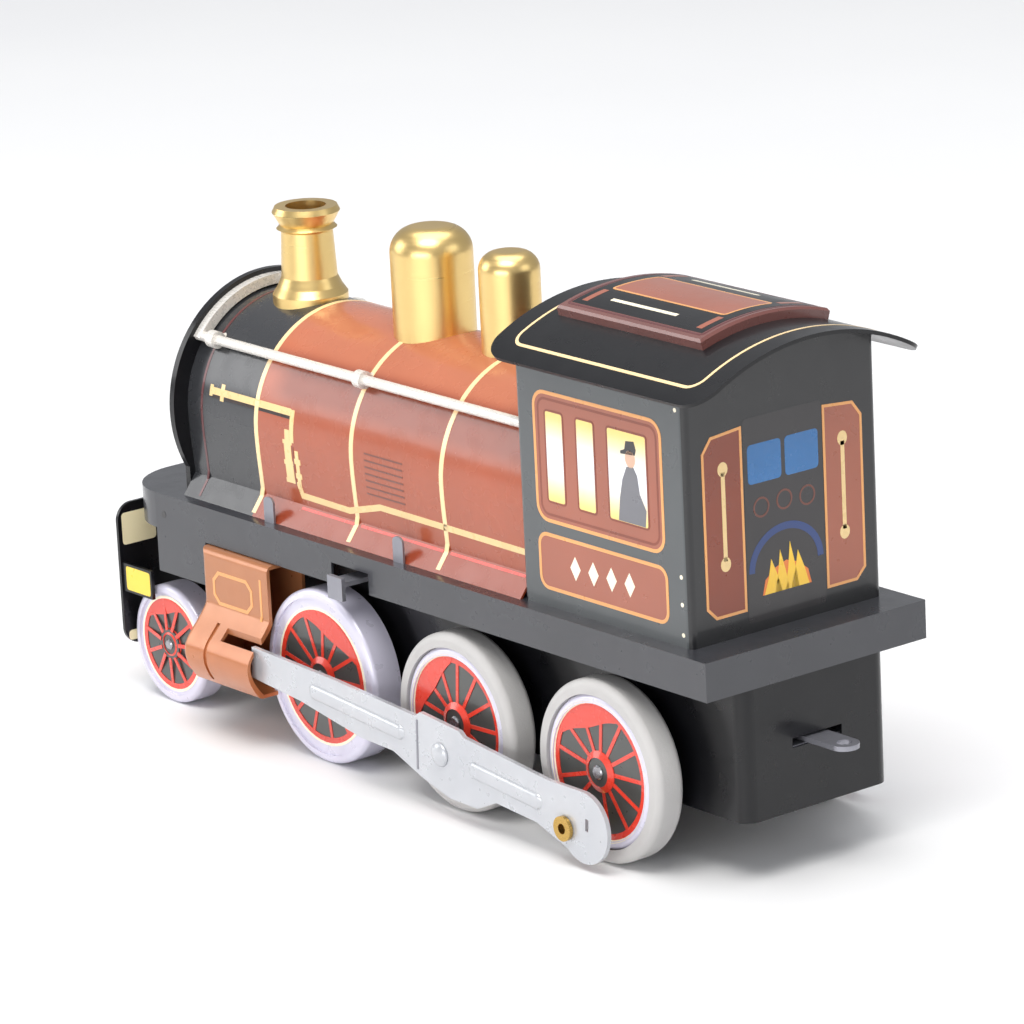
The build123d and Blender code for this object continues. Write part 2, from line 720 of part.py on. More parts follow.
# Rods: one pressed strip a side, wide in the middle, with a round end at the crank.
rod_top = (
    (6.0, 8.3),
    (33.0, 8.2),
    (34.5, 9.1),
    (47.5, 8.9),
    (49.0, 7.6),
    (77.0, 6.4),
    (rod_reach, 4.4),
)
rod_under = (
    (88.0, -2.2),
    (67.0, -3.4),
    (56.0, -2.6),
    (46.0, -5.2),
    (37.0, -6.6),
    (28.0, -5.8),
    (22.0, -2.4),
)
rod_slot = (-6.6, 2.8)
for name, side in sides:
    slope = radians(rod_slope)
    rod_plane = Plane(
        origin=(pin_x, side * rod_y, pin_z),
        x_dir=(cos(slope), 0, sin(slope)),
        z_dir=(0, side, 0),
    )
    with BuildPart() as rod:
        with BuildSketch(rod_plane):
            with BuildLine():
                outline_y = [(u, -side * v) for u, v in rod_top]
                under_y = [(u, -side * v) for u, v in rod_under]
                tip = Line(outline_y[-1], (rod_reach, side * 2.5))
                Polyline(*outline_y)
                Polyline(tip @ 1, *under_y)
                Line(under_y[-1], (9.0, side * 2.0))
                Line((9.0, side * 2.0), (-1.0, side * 4.2))
                ThreePointArc((-1.0, side * 4.2), (-13.0, -side * 2.8), (-4.0, -side * 9.4))
                Line((-4.0, -side * 9.4), outline_y[0])
            make_face()
            Circle(pin_radius + fit, mode=Mode.SUBTRACT)
            with Locations((rod_slot[0], -side * rod_slot[1])):
                Rectangle(1.0, 2.6, mode=Mode.SUBTRACT)
        extrude(amount=rod_thick)
    finish(rod, f"rod_{name}")

# ================================================================================
# Clockwork motor
# ================================================================================

shaft_places = {
    "rear": (rear_x, axle_z, axle_radius),
    "middle": (middle_x, axle_z, axle_radius),
    "idler": (idler_x, idler_z, shaft_radius),
    "second": (second_x, second_z, shaft_radius),
    "governor": (governor_x, governor_z, shaft_radius),
    "arbor": (arbor_x, arbor_z, arbor_radius),
}
plate_margin = 5.0
plate_bottom = 10.5

for name, side in sides:
    with BuildPart() as motor_plate:
        with BuildSketch(side_plane(0, side * plate_inner, 0, side)) as plate_face:
            for place_x, place_z in pillar_places:
                with Locations((-side * place_x, place_z)):
                    Circle(plate_margin)
            for place_x, place_z, _ in (shaft_places[shaft] for shaft in ("rear", "middle", "arbor")):
                with Locations((-side * place_x, place_z)):
                    Circle(2 * plate_margin)
            make_hull()
            with Locations((0, plate_bottom - axle_z)):
                Rectangle(2 * (footplate_front - footplate_rear), 2 * axle_z, mode=Mode.SUBTRACT)
            for place_x, place_z, place_radius in shaft_places.values():
                with Locations((-side * place_x, place_z)):
                    Circle(place_radius + fit, mode=Mode.SUBTRACT)
            for place_x, place_z in pillar_places:
                with Locations((-side * place_x, place_z)):
                    Circle(tenon_radius, mode=Mode.SUBTRACT)
        extrude(amount=plate_thick)
    finish(motor_plate, f"motor_plate_{name}")

# Pillars rivet the two plates together.
with BuildPart() as motor_pillars:
    for place_x, place_z in pillar_places:
        with BuildSketch(side_plane(place_x, -plate_inner, place_z)):
            Circle(pillar_radius)
        extrude(amount=2 * plate_inner)
        with BuildSketch(side_plane(place_x, -plate_inner - plate_thick - 0.4, place_z)):
            Circle(tenon_radius)
        extrude(amount=2 * (plate_inner + plate_thick + 0.4))
finish(motor_pillars, "motor_pillars")

# Cross bars carry the motor plates on the footplate's underside.
bar_thick = 1.0
bar_width = 5.0
with BuildPart() as motor_brackets:
    for side in (1, -1):
        for bar_x in (second_x - 16.0, second_x + 16.0):
            with BuildSketch(Plane.XY.offset(footplate_top - sheet - bar_thick)):
                with Locations((bar_x, side * (plate_inner + plate_thick + motor_gap_half + 4.0) / 2)):
                    Rectangle(bar_width, motor_gap_half + 4.0 - plate_inner - plate_thick)
            extrude(amount=bar_thick)
finish(motor_brackets, "motor_brackets")

# Mainspring: a flat strip wound in a spiral, with its outer end held by a pillar.
spring_thick = 0.5
spring_turns = 7
spring_start = arbor_radius + 1.2
spring_end = 15.0
hook_x, hook_z = pillar_places[2]
hook_angle = atan2(hook_z - arbor_z, arbor_x - hook_x)
hook_reach = sqrt((hook_x - arbor_x) ** 2 + (hook_z - arbor_z) ** 2) - pillar_radius


def spiral(offset_by):
    """Points of the spiral strip's edge, ending in the direction of the pillar."""
    steps = 16 * spring_turns
    points = []
    for step in range(steps + 1):
        angle = hook_angle - 2 * pi * spring_turns * (1 - step / steps)
        radius = spring_start + (spring_end - spring_start) * step / steps + offset_by
        points.append((radius * cos(angle), radius * sin(angle)))
    return points


with BuildPart() as mainspring:
    with BuildSketch(side_plane(arbor_x, spring_inner, arbor_z)):
        with BuildLine():
            near = Spline(*spiral(0.0))
            far = Spline(*spiral(spring_thick))
            Line(near @ 0, far @ 0)
            Line(near @ 1, far @ 1)
        make_face()
    extrude(amount=spring_outer - spring_inner)
    hook_plane = Plane(
        origin=(arbor_x, spring_inner, arbor_z),
        x_dir=(-cos(hook_angle), 0, sin(hook_angle)),
        z_dir=(0, 1, 0),
    )
    with BuildSketch(hook_plane):
        with Locations(((spring_end + hook_reach) / 2, -spring_thick / 2)):
            Rectangle(hook_reach - spring_end, spring_thick)
    extrude(amount=spring_outer - spring_inner)
finish(mainspring, "mainspring")

# Gears. Each phase follows from the gear that it meshes with, starting at the idler.
rear_at = (rear_x, axle_z)
middle_at = (middle_x, axle_z)
idler_at = (idler_x, idler_z)
second_at = (second_x, second_z)
arbor_at = (arbor_x, arbor_z)
governor_at = (governor_x, governor_z)
rear_phase = mesh_phase(0.0, idler_teeth, axle_gear_teeth, idler_at, rear_at)
middle_phase = mesh_phase(0.0, idler_teeth, axle_gear_teeth, idler_at, middle_at)
second_phase = mesh_phase(0.0, idler_pinion_teeth, second_teeth, idler_at, second_at)
great_phase = mesh_phase(0.0, second_pinion_teeth, great_teeth, second_at, arbor_at)
governor_phase = mesh_phase(second_phase, second_teeth, governor_teeth, second_at, governor_at)
finish(gear(*rear_at, axle_gear_teeth, axle_layer, gear_thick, axle_radius, rear_phase), "rear_axle_gear")
middle_gear = gear(*middle_at, axle_gear_teeth, axle_layer, gear_thick, axle_radius, middle_phase)
finish(middle_gear, "middle_axle_gear")
finish(gear(*idler_at, idler_teeth, axle_layer, gear_thick, shaft_radius), "idler_wheel")
finish(gear(*second_at, second_teeth, second_layer, gear_thick, shaft_radius, second_phase), "second_wheel")

# Great wheel: turns on the arbor, lightened by round holes.
great_wheel = gear(*arbor_at, great_teeth, great_layer, gear_thick, arbor_radius + fit, great_phase)
great_holes = 5
great_hole_radius = 3.0
click_reach = 9.6
click_angle = radians(90.0)
click_x = arbor_x - click_reach * cos(click_angle)
click_z = arbor_z + click_reach * sin(click_angle)
click_pin = 0.8
with BuildPart() as great_wheel_cut:
    add(great_wheel.part)
    with BuildSketch(side_plane(arbor_x, great_layer, arbor_z)):
        with PolarLocations(0.68 * tooth_module * great_teeth / 2, great_holes, start_angle=54):
            Circle(great_hole_radius)
    extrude(amount=gear_thick, mode=Mode.SUBTRACT)
    with BuildSketch(side_plane(click_x, great_layer + gear_thick, click_z)):
        Circle(click_pin)
    extrude(amount=ratchet_layer + gear_thick - great_layer - gear_thick)
finish(great_wheel_cut, "great_wheel")


def pinion_shaft(at, teeth, y_low, length, phase=0.0):
    """A shaft with a pinion cut on it, running between the motor plates."""
    made = gear(*at, teeth, y_low, length, shaft_radius / 2, phase)
    end = plate_inner + plate_thick + 0.3
    with BuildPart() as joined:
        add(made.part)
        with BuildSketch(side_plane(at[0], -end, at[1])):
            Circle(shaft_radius)
        extrude(amount=2 * end)
    return joined


idler_pinion = pinion_shaft(idler_at, idler_pinion_teeth, second_layer - 0.2, gear_thick + 0.4)
finish(idler_pinion, "idler_pinion")
second_pinion = pinion_shaft(second_at, second_pinion_teeth, great_layer - 0.2, gear_thick + 0.4)
finish(second_pinion, "second_pinion")

# Governor: a pinion shaft with a braking disc.
governor_disc_radius = 7.0
governor_disc_y = -4.0
governor_shaft = pinion_shaft(governor_at, governor_teeth, second_layer - 0.2, gear_thick + 0.4, governor_phase)
with BuildPart() as governor:
    add(governor_shaft.part)
    with BuildSketch(side_plane(governor_x, governor_disc_y, governor_z)):
        Circle(governor_disc_radius)
    extrude(amount=gear_thick)
finish(governor, "governor")

# Winding arbor: a round shaft with a square end outside the boiler's right side.
arbor_square = 2.2
arbor_left = plate_inner + plate_thick + 0.4
arbor_right = boiler_radius + 3.0
arbor_round_end = boiler_radius + 0.5
with BuildPart() as winding_arbor:
    with BuildSketch(side_plane(arbor_x, -arbor_round_end, arbor_z)):
        Circle(arbor_radius)
    extrude(amount=arbor_round_end + arbor_left)
    with BuildSketch(side_plane(arbor_x, -arbor_right - 5.0, arbor_z)):
        Rectangle(arbor_square, arbor_square)
    extrude(amount=arbor_right + 5.0 - arbor_round_end)
finish(winding_arbor, "winding_arbor")

# Ratchet wheel: saw teeth, fixed on the arbor beside the great wheel.
ratchet_teeth = 14
ratchet_tip = 6.4
ratchet_root = 5.2
ratchet_points = []
for tooth in range(ratchet_teeth):
    for reach, share in ((ratchet_tip, 0.0), (ratchet_root, 0.12)):
        angle = 2 * pi * (tooth + share) / ratchet_teeth
        ratchet_points.append((reach * cos(angle), reach * sin(angle)))
with BuildPart() as ratchet_wheel:
    with BuildSketch(side_plane(arbor_x, ratchet_layer, arbor_z)):
        with BuildLine():
            Polyline(*ratchet_points, close=True)
        make_face()
        Circle(arbor_radius, mode=Mode.SUBTRACT)
    extrude(amount=gear_thick)
finish(ratchet_wheel, "ratchet_wheel")

# Click: a small pawl on the great wheel that drops towards the ratchet teeth.
click_length = 5.0
with BuildPart() as click:
    with BuildSketch(side_plane(click_x, ratchet_layer, click_z)):
        Circle(1.9)
        with BuildLine():
            Polyline((0.0, 1.9), (-click_length, -0.6), (-click_length, -1.6), (0.0, -1.4), close=True)
        make_face()
        Circle(click_pin + fit, mode=Mode.SUBTRACT)
    extrude(amount=gear_thick)
finish(click, "click")

# Winding key: a sleeve with a square socket and a two-winged bow.
key_sleeve = 3.0
key_start = arbor_right - 2.0
key_sleeve_length = 8.0
key_bow_half = 10.0
key_bow_depth = 9.0
key_bow_thick = 1.4
key_hole_radius = 2.4
with BuildPart() as winding_key:
    with BuildSketch(side_plane(arbor_x, -key_start, arbor_z, -1)):
        Circle(key_sleeve)
    extrude(amount=key_sleeve_length)
    bow_y = -key_start - key_sleeve_length - key_bow_depth / 2 + 2.0
    with BuildSketch(Plane.XY.offset(arbor_z - key_bow_thick / 2)):
        for side in (1, -1):
            with Locations((arbor_x + side * key_bow_half / 2, bow_y)):
                RectangleRounded(key_bow_half + 2.0, key_bow_depth, 4.0)
        for side in (1, -1):
            with Locations((arbor_x + side * (key_bow_half / 2 + 1.0), bow_y)):
                Circle(key_hole_radius, mode=Mode.SUBTRACT)
    extrude(amount=key_bow_thick)
    add(winding_arbor.part, mode=Mode.SUBTRACT)
finish(winding_key, "winding_key")

# ================================================================================
# Start lever and drawbar
# ================================================================================

# The lever turns on a rivet; its inner arm reaches the governor's disc.
lever_pivot_y = 12.0
lever_width = 5.0
lever_tip = rod_y - 1.0
lever_rivet = 1.2
arm_width = 1.6
arm_end = governor_x + 4.6
arm_y = governor_disc_y + gear_thick + 1.6
with BuildPart() as start_lever:
    with BuildSketch(Plane.XY.offset(lever_z)):
        with Locations((lever_notch_x, (lever_tip + lever_pivot_y - 3.0) / 2)):
            Rectangle(lever_width, lever_tip - lever_pivot_y + 3.0)
        with Locations((lever_notch_x, (lever_pivot_y + arm_y) / 2)):
            Rectangle(arm_width, lever_pivot_y - arm_y + arm_width)
        with Locations(((lever_notch_x + arm_end) / 2, arm_y)):
            Rectangle(lever_notch_x - arm_end + arm_width, arm_width)
        with Locations((lever_notch_x, lever_pivot_y)):
            Circle(lever_rivet + fit, mode=Mode.SUBTRACT)
    extrude(amount=lever_thick)
    with BuildSketch(Plane.XY.offset(lever_z - 3.0)):
        with Locations((lever_notch_x, lever_tip - 0.5)):
            Rectangle(lever_width, 1.0)
    extrude(amount=5.0)
finish(start_lever, "start_lever")

# Drawbar: a flat link that swings on a rivet inside the underframe.
drawbar_pivot_x = frame_rear + 9.0
drawbar_end = frame_rear - 8.0
drawbar_width = 6.0
drawbar_eye = 1.6
drawbar_rivet = 1.2
with BuildPart() as drawbar:
    with BuildSketch(Plane.XY.offset(drawbar_z - drawbar_thick / 2)):
        with Locations(((drawbar_pivot_x + drawbar_end) / 2, 0)):
            SlotCenterToCenter(drawbar_pivot_x - drawbar_end, drawbar_width)
        with Locations((drawbar_pivot_x, 0)):
            Circle(drawbar_rivet + fit, mode=Mode.SUBTRACT)
        with Locations((drawbar_end, 0)):
            Circle(drawbar_eye, mode=Mode.SUBTRACT)
    extrude(amount=drawbar_thick)
finish(drawbar, "drawbar")

# A shelf inside the rear wall carries the drawbar's rivet.
shelf_thick = 1.0
shelf_top = drawbar_z - drawbar_thick / 2 - 0.3
with BuildPart() as drawbar_shelf:
    with BuildSketch(Plane.XY.offset(shelf_top - shelf_thick)):
        with Locations(((frame_rear + sheet + drawbar_pivot_x + 5.0) / 2, 0)):
            Rectangle(drawbar_pivot_x + 5.0 - frame_rear - sheet, 2 * (frame_half - frame_corner))
    extrude(amount=shelf_thick)
finish(drawbar_shelf, "drawbar_shelf")

# Rivets: the pivots of the lever and drawbar, with heads, as separate solids.
rivet_head = 2.2
rivet_head_thick = 0.7
with BuildPart() as pivot_rivets:
    with BuildSketch(Plane.XY.offset(lever_z - 0.2)):
        with Locations((lever_notch_x, lever_pivot_y)):
            Circle(lever_rivet)
    extrude(amount=footplate_top - sheet - lever_z + 0.2)
    with BuildSketch(Plane.XY.offset(lever_z - 0.2 - rivet_head_thick)):
        with Locations((lever_notch_x, lever_pivot_y)):
            Circle(rivet_head)
    extrude(amount=rivet_head_thick)
    with BuildSketch(Plane.XY.offset(shelf_top)):
        with Locations((drawbar_pivot_x, 0)):
            Circle(drawbar_rivet)
    extrude(amount=drawbar_thick + 0.5)
    with BuildSketch(Plane.XY.offset(shelf_top + drawbar_thick + 0.5)):
        with Locations((drawbar_pivot_x, 0)):
            Circle(rivet_head)
    extrude(amount=rivet_head_thick)
finish(pivot_rivets, "pivot_rivets")

print("nodes", len(parts))
for place_name, place in shaft_places.items():
    print(place_name, [round(value, 3) for value in place])
print("crank pin", round(pin_x, 3), round(pin_z, 3))
print("click", round(click_x, 3), round(click_z, 3))
print("lever pivot", lever_notch_x, lever_pivot_y, "drawbar pivot", drawbar_pivot_x, "eye", drawbar_end)
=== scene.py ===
import json
import math

import bmesh
import bpy
from mathutils import Matrix, Vector
from mathutils.bvhtree import BVHTree


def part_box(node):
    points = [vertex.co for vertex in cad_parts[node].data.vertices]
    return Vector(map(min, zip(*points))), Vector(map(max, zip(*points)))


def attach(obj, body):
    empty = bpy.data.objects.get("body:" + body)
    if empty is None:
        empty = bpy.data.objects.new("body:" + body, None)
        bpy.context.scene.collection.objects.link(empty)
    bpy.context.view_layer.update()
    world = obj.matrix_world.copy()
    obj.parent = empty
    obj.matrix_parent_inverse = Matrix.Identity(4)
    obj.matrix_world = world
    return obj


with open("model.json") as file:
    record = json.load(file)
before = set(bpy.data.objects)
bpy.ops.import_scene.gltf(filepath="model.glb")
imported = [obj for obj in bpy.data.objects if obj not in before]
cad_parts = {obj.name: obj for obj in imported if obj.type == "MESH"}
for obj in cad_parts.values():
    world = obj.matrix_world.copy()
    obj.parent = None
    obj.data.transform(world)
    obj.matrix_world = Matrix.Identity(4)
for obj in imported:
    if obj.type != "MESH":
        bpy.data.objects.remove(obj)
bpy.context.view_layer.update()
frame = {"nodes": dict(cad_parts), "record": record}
nodes = frame["nodes"]
MM = 0.001

# ---- places, all worked out from the frame --------------------------------------


def joint_at(name):
    """The place of a joint in the frame, in metres."""
    for joint in frame["record"]["behaviour"]["joints"]:
        if joint["name"] == name:
            return Vector(joint["pos_m"])
    raise KeyError(name)


def span(node):
    """Lowest and highest corner of a node as vectors."""
    low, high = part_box(node)
    return Vector(low), Vector(high)


boiler_high = span("boiler_shell")[1]
cab_low, cab_high = span("cab_shell")
plate_high = span("footplate")[1]
roof_low, roof_high = span("roof")
vent_low, vent_high = span("roof_ventilator")
cylinder_low, cylinder_high = span("cylinder_left")
beam_low, beam_high = span("buffer_beam")
rear_at = joint_at("rear_axle_spin")
middle_at = joint_at("middle_axle_spin")
front_at = joint_at("front_axle_spin")
pilot_at = joint_at("pilot_axle_spin")
crank_at = joint_at("rod_left_swing")
boiler_radius = 23.5 * MM
boiler_axis_z = boiler_high.z - boiler_radius
deck = plate_high.z

# ---- materials -----------------------------------------------------------------


class Paint:
    """A material under construction, with short calls for the nodes it needs."""

    def __init__(self, name):
        self.material = bpy.data.materials.new(name)
        self.material.use_nodes = True
        self.tree = self.material.node_tree
        self.shader = self.tree.nodes["Principled BSDF"]
        self.coords = self.tree.nodes.new("ShaderNodeTexCoord").outputs["Object"]
        self.split = None

    def node(self, kind, **settings):
        made = self.tree.nodes.new(kind)
        for key, value in settings.items():
            setattr(made, key, value)
        return made

    def feed(self, socket, value):
        if hasattr(value, "links"):
            self.tree.links.new(value, socket)
        else:
            socket.default_value = value

    def axis(self, letter):
        if self.split is None:
            self.split = self.node("ShaderNodeSeparateXYZ")
            self.feed(self.split.inputs[0], self.coords)
        return self.split.outputs[letter]

    def math(self, operation, first, second=0.0, third=0.0, clamp=False):
        made = self.node("ShaderNodeMath", operation=operation, use_clamp=clamp)
        self.feed(made.inputs[0], first)
        self.feed(made.inputs[1], second)
        self.feed(made.inputs[2], third)
        return made.outputs[0]

    def step(self, value, edge, soft):
        """0 below the edge and 1 above it, over a soft width."""
        made = self.node("ShaderNodeMapRange", interpolation_type="SMOOTHSTEP")
        self.feed(made.inputs["Value"], value)
        self.feed(made.inputs["From Min"], edge - soft / 2)
        self.feed(made.inputs["From Max"], edge + soft / 2)
        return made.outputs["Result"]

    def between(self, value, low, high, soft):
        """1 between low and high, with soft sides."""
        above = self.step(value, low, soft)
        below = self.math("SUBTRACT", 1.0, self.step(value, high, soft))
        return self.math("MULTIPLY", above, below)

    def mix(self, factor, first, second):
        made = self.node("ShaderNodeMix", data_type="RGBA")
        self.feed(made.inputs["Factor"], factor)
        self.feed(made.inputs["A"], first)
        self.feed(made.inputs["B"], second)
        return made.outputs["Result"]

    def noise(self, scale, detail=3.0, roughness=0.5, stretch=None):
        made = self.node("ShaderNodeTexNoise")
        if stretch:
            mapping = self.node("ShaderNodeMapping")
            mapping.inputs["Scale"].default_value = stretch
            self.feed(mapping.inputs["Vector"], self.coords)
            self.feed(made.inputs["Vector"], mapping.outputs[0])
        else:
            self.feed(made.inputs["Vector"], self.coords)
        made.inputs["Scale"].default_value = scale
        made.inputs["Detail"].default_value = detail
        made.inputs["Roughness"].default_value = roughness
        return made.outputs["Fac"]

    def scaled(self, value, low, high):
        """A 0 to 1 value spread from low to high."""
        made = self.node("ShaderNodeMapRange")
        self.feed(made.inputs["Value"], value)
        self.feed(made.inputs["From Min"], 0.25)
        self.feed(made.inputs["From Max"], 0.75)
        self.feed(made.inputs["To Min"], low)
        self.feed(made.inputs["To Max"], high)
        return made.outputs["Result"]

    def tint(self, colour, amount, scale):
        """The colour with a faint uneven tone, as print on tin has."""
        dark = [channel * (1 - amount) for channel in colour[:3]] + [1]
        pale = [min(1.0, channel * (1 + amount)) for channel in colour[:3]] + [1]
        return self.mix(self.scaled(self.noise(scale), 0.0, 1.0), dark, pale)

    def bump(self, height, distance, strength=1.0):
        made = self.node("ShaderNodeBump")
        self.feed(made.inputs["Height"], height)
        made.inputs["Distance"].default_value = distance
        made.inputs["Strength"].default_value = strength
        self.feed(self.shader.inputs["Normal"], made.outputs[0])

    def finish(self, colour, roughness, metallic=0.0, coat=0.0, coat_roughness=0.05, specular=0.5):
        self.feed(self.shader.inputs["Base Color"], colour)
        self.feed(self.shader.inputs["Roughness"], roughness)
        self.shader.inputs["Metallic"].default_value = metallic
        self.shader.inputs["Coat Weight"].default_value = coat
        self.shader.inputs["Coat Roughness"].default_value = coat_roughness
        self.shader.inputs["Specular IOR Level"].default_value = specular
        return self.material


def rgb(red, green, blue):
    """A linear colour from the 0 to 255 values of a screen colour."""
    channels = []
    for value in (red, green, blue):
        share = value / 255
        channels.append(share / 12.92 if share <= 0.04045 else ((share + 0.055) / 1.055) ** 2.4)
    return [*channels, 1.0]


SLATE = rgb(74, 78, 80)
BLACK = rgb(16, 16, 19)
VALANCE = rgb(54, 55, 60)
TERRACOTTA = rgb(166, 84, 56)
TERRACOTTA_SHADE = rgb(128, 54, 30)
ORANGE = rgb(196, 92, 48)
CREAM = rgb(250, 218, 164)
GOLD = rgb(228, 160, 92)
IVORY = rgb(250, 240, 214)
RED = rgb(222, 62, 44)
LILAC = rgb(216, 213, 230)


def tin_wave(paint, strength=0.5):
    """The slight waviness and orange peel of lacquered sheet."""
    broad = paint.noise(38.0, 2.0)
    fine = paint.noise(900.0, 2.0)
    height = paint.math("ADD", paint.math("MULTIPLY", broad, 0.85), paint.math("MULTIPLY", fine, 0.015))
    paint.bump(height, 0.0011, strength)


def litho(name, colour, variation=0.06, roughness=0.28, coat=0.55, wave=0.35):
    """Printed and lacquered tinplate in one ink."""
    paint = Paint(name)
    base = paint.tint(colour, variation, 60.0)
    rough = paint.scaled(paint.noise(240.0), roughness - 0.05, roughness + 0.07)
    tin_wave(paint, wave)
    return paint.finish(base, rough, 0.0, coat, 0.08)


def slate_litho(name, colour, specular=0.5):
    """Dark print with a few pale specks and scuffs."""
    paint = Paint(name)
    base = paint.tint(colour, 0.10, 45.0)
    specks = paint.step(paint.noise(1400.0, 4.0, 0.7), 0.72, 0.06)
    worn = paint.mix(paint.math("MULTIPLY", specks, 0.2), base, rgb(110, 110, 118))
    rough = paint.scaled(paint.noise(200.0), 0.24, 0.38)
    tin_wave(paint, 0.4)
    return paint.finish(worn, rough, 0.0, specular * 0.8, 0.1, specular)


def boiler_litho():
    """Terracotta boiler print with painted light: a painted highlight on the crown, painted shade under the
    rail and at the foot, and dark ahead of the first band.
    """
    paint = Paint("boiler_litho")
    height = paint.axis("Z")
    along = paint.axis("X")
    base = paint.tint(TERRACOTTA, 0.07, 50.0)
    rail_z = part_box("handrails")[0][2] + 1.1 * MM
    behind = paint.math("SUBTRACT", 1.0, paint.step(along, smokebox_edge - 6 * MM, 9 * MM))
    # Painted light: the crown is paler as a painted highlight, the belt under the rail deeper as painted
    # shade, and the foot darker as painted shade.
    painted_crown_highlight = paint.step(height, rail_z + 1.0 * MM, 3.0 * MM)
    colour = paint.mix(painted_crown_highlight, base, paint.tint(rgb(184, 108, 78), 0.05, 50.0))
    painted_rail_shade = paint.between(height, rail_z - 8.0 * MM, rail_z - 0.5 * MM, 5 * MM)
    painted_rail_shade = paint.math("MULTIPLY", painted_rail_shade, paint.math("MULTIPLY", behind, 0.9))
    colour = paint.mix(painted_rail_shade, colour, TERRACOTTA_SHADE)
    # Painted shade: darker at the foot, where the boiler meets the footplate.
    foot = paint.math("SUBTRACT", 1.0, paint.step(height, deck + 4.8 * MM, 1.6 * MM))
    colour = paint.mix(paint.math("MULTIPLY", foot, 0.8), colour, rgb(142, 58, 34))
    # Painted sheen: orange streaks over the crown just behind the smokebox.
    sheen_streaks = paint.step(paint.noise(70.0, 2.0, 0.5, (0.25, 1.0, 1.0)), 0.56, 0.12)
    near_chimney = paint.between(along, smokebox_edge - 20 * MM, smokebox_edge - 1 * MM, 6 * MM)
    painted_crown_sheen = paint.math("MULTIPLY", paint.math("MULTIPLY", sheen_streaks, painted_crown_highlight), near_chimney)
    colour = paint.mix(paint.math("MULTIPLY", painted_crown_sheen, 0.5), colour, ORANGE)
    # The smokebox is near black.
    black_part = paint.step(along, smokebox_edge, 0.12 * MM)
    colour = paint.mix(black_part, colour, paint.tint(rgb(50, 51, 54), 0.08, 45.0))
    rough = paint.scaled(paint.noise(220.0), 0.20, 0.32)
    tin_wave(paint, 0.4)
    return paint.finish(colour, rough, 0.0, 0.32, 0.12)


def cab_litho():
    """Slate print on the cab's sides, and black painted shade on its rear wall."""
    paint = Paint("cab_litho")
    # Painted shade: the whole rear wall is black, as it stands in the tender's shadow.
    rear_wall_shade = paint.step(paint.axis("X"), cab_low.x + 1.0 * MM, 0.2 * MM)
    base = paint.mix(rear_wall_shade, paint.tint(BLACK, 0.1, 45.0), paint.tint(SLATE, 0.08, 45.0))
    specks = paint.step(paint.noise(1400.0, 4.0, 0.7), 0.72, 0.06)
    worn = paint.mix(paint.math("MULTIPLY", specks, 0.25), base, rgb(130, 132, 136))
    rough = paint.scaled(paint.noise(200.0), 0.24, 0.38)
    tin_wave(paint, 0.35)
    return paint.finish(worn, rough, 0.0, 0.5, 0.1)


def copper_litho():
    """Copper-brown pressed cylinders with a warm, uneven sheen."""
    paint = Paint("copper_litho")
    height = paint.axis("Z")
    middle = (cylinder_low.z + cylinder_high.z) / 2
    base = paint.tint(rgb(184, 120, 78), 0.08, 80.0)
    low = paint.math("SUBTRACT", 1.0, paint.step(height, middle - 3 * MM, 14 * MM))
    colour = paint.mix(paint.math("MULTIPLY", low, 0.45), base, rgb(200, 112, 60))
    streak = paint.noise(120.0, 3.0, 0.5, (1.0, 1.0, 0.15))
    colour = paint.mix(paint.scaled(streak, 0.0, 0.25), colour, rgb(140, 84, 54))
    tin_wave(paint, 0.6)
    return paint.finish(colour, paint.scaled(paint.noise(300.0), 0.26, 0.38), 0.25, 0.45, 0.1)


def turned_brass(name, colour, roughness=0.2):
    """Lathe-turned brass: fine rings round a vertical axis and a slight tarnish."""
    paint = Paint(name)
    rings = paint.noise(1800.0, 2.0, 0.5, (0.02, 0.02, 1.0))
    tarnish = paint.noise(110.0, 4.0)
    base = paint.mix(paint.scaled(tarnish, 0.0, 0.4), colour, [channel * 0.8 for channel in colour[:3]] + [1])
    rough = paint.scaled(rings, roughness - 0.04, roughness + 0.08)
    paint.bump(rings, 0.00004, 0.35)
    return paint.finish(base, rough, 1.0)


def bare_metal(name, colour, roughness=0.3, stretch=(1.0, 1.0, 0.06), metallic=1.0, scale=900.0):
    """Drawn or rolled metal with fine brushing."""
    paint = Paint(name)
    grain = paint.noise(scale, 3.0, 0.6, stretch)
    cloud = paint.noise(120.0, 3.0)
    base = paint.mix(paint.scaled(cloud, 0.0, 0.25), colour, [channel * 0.7 for channel in colour[:3]] + [1])
    paint.bump(grain, 0.00008, 0.5)
    return paint.finish(base, paint.scaled(grain, roughness - 0.08, roughness + 0.12), metallic)


def rod_tin():
    """Silver-white enamelled tin of the rods, with a soft metallic sheen."""
    paint = Paint("rod_tin")
    base = paint.tint(rgb(196, 198, 202), 0.04, 90.0)
    cloud = paint.scaled(paint.noise(55.0, 3.0), 0.0, 0.35)
    colour = paint.mix(cloud, base, rgb(168, 172, 180))
    tin_wave(paint, 0.7)
    return paint.finish(colour, paint.scaled(paint.noise(260.0), 0.24, 0.36), 0.35, 0.4, 0.1)


def tyre_rubber():
    """Pale grey rubber with a dusty face."""
    paint = Paint("tyre_rubber")
    grain = paint.noise(1500.0, 4.0, 0.7)
    dust = paint.scaled(paint.noise(70.0, 4.0), 0.0, 0.5)
    colour = paint.mix(dust, rgb(196, 194, 192), rgb(166, 164, 164))
    paint.bump(grain, 0.0002, 0.35)
    return paint.finish(colour, paint.scaled(grain, 0.5, 0.66), 0.0, 0.0, 0.1, 0.35)


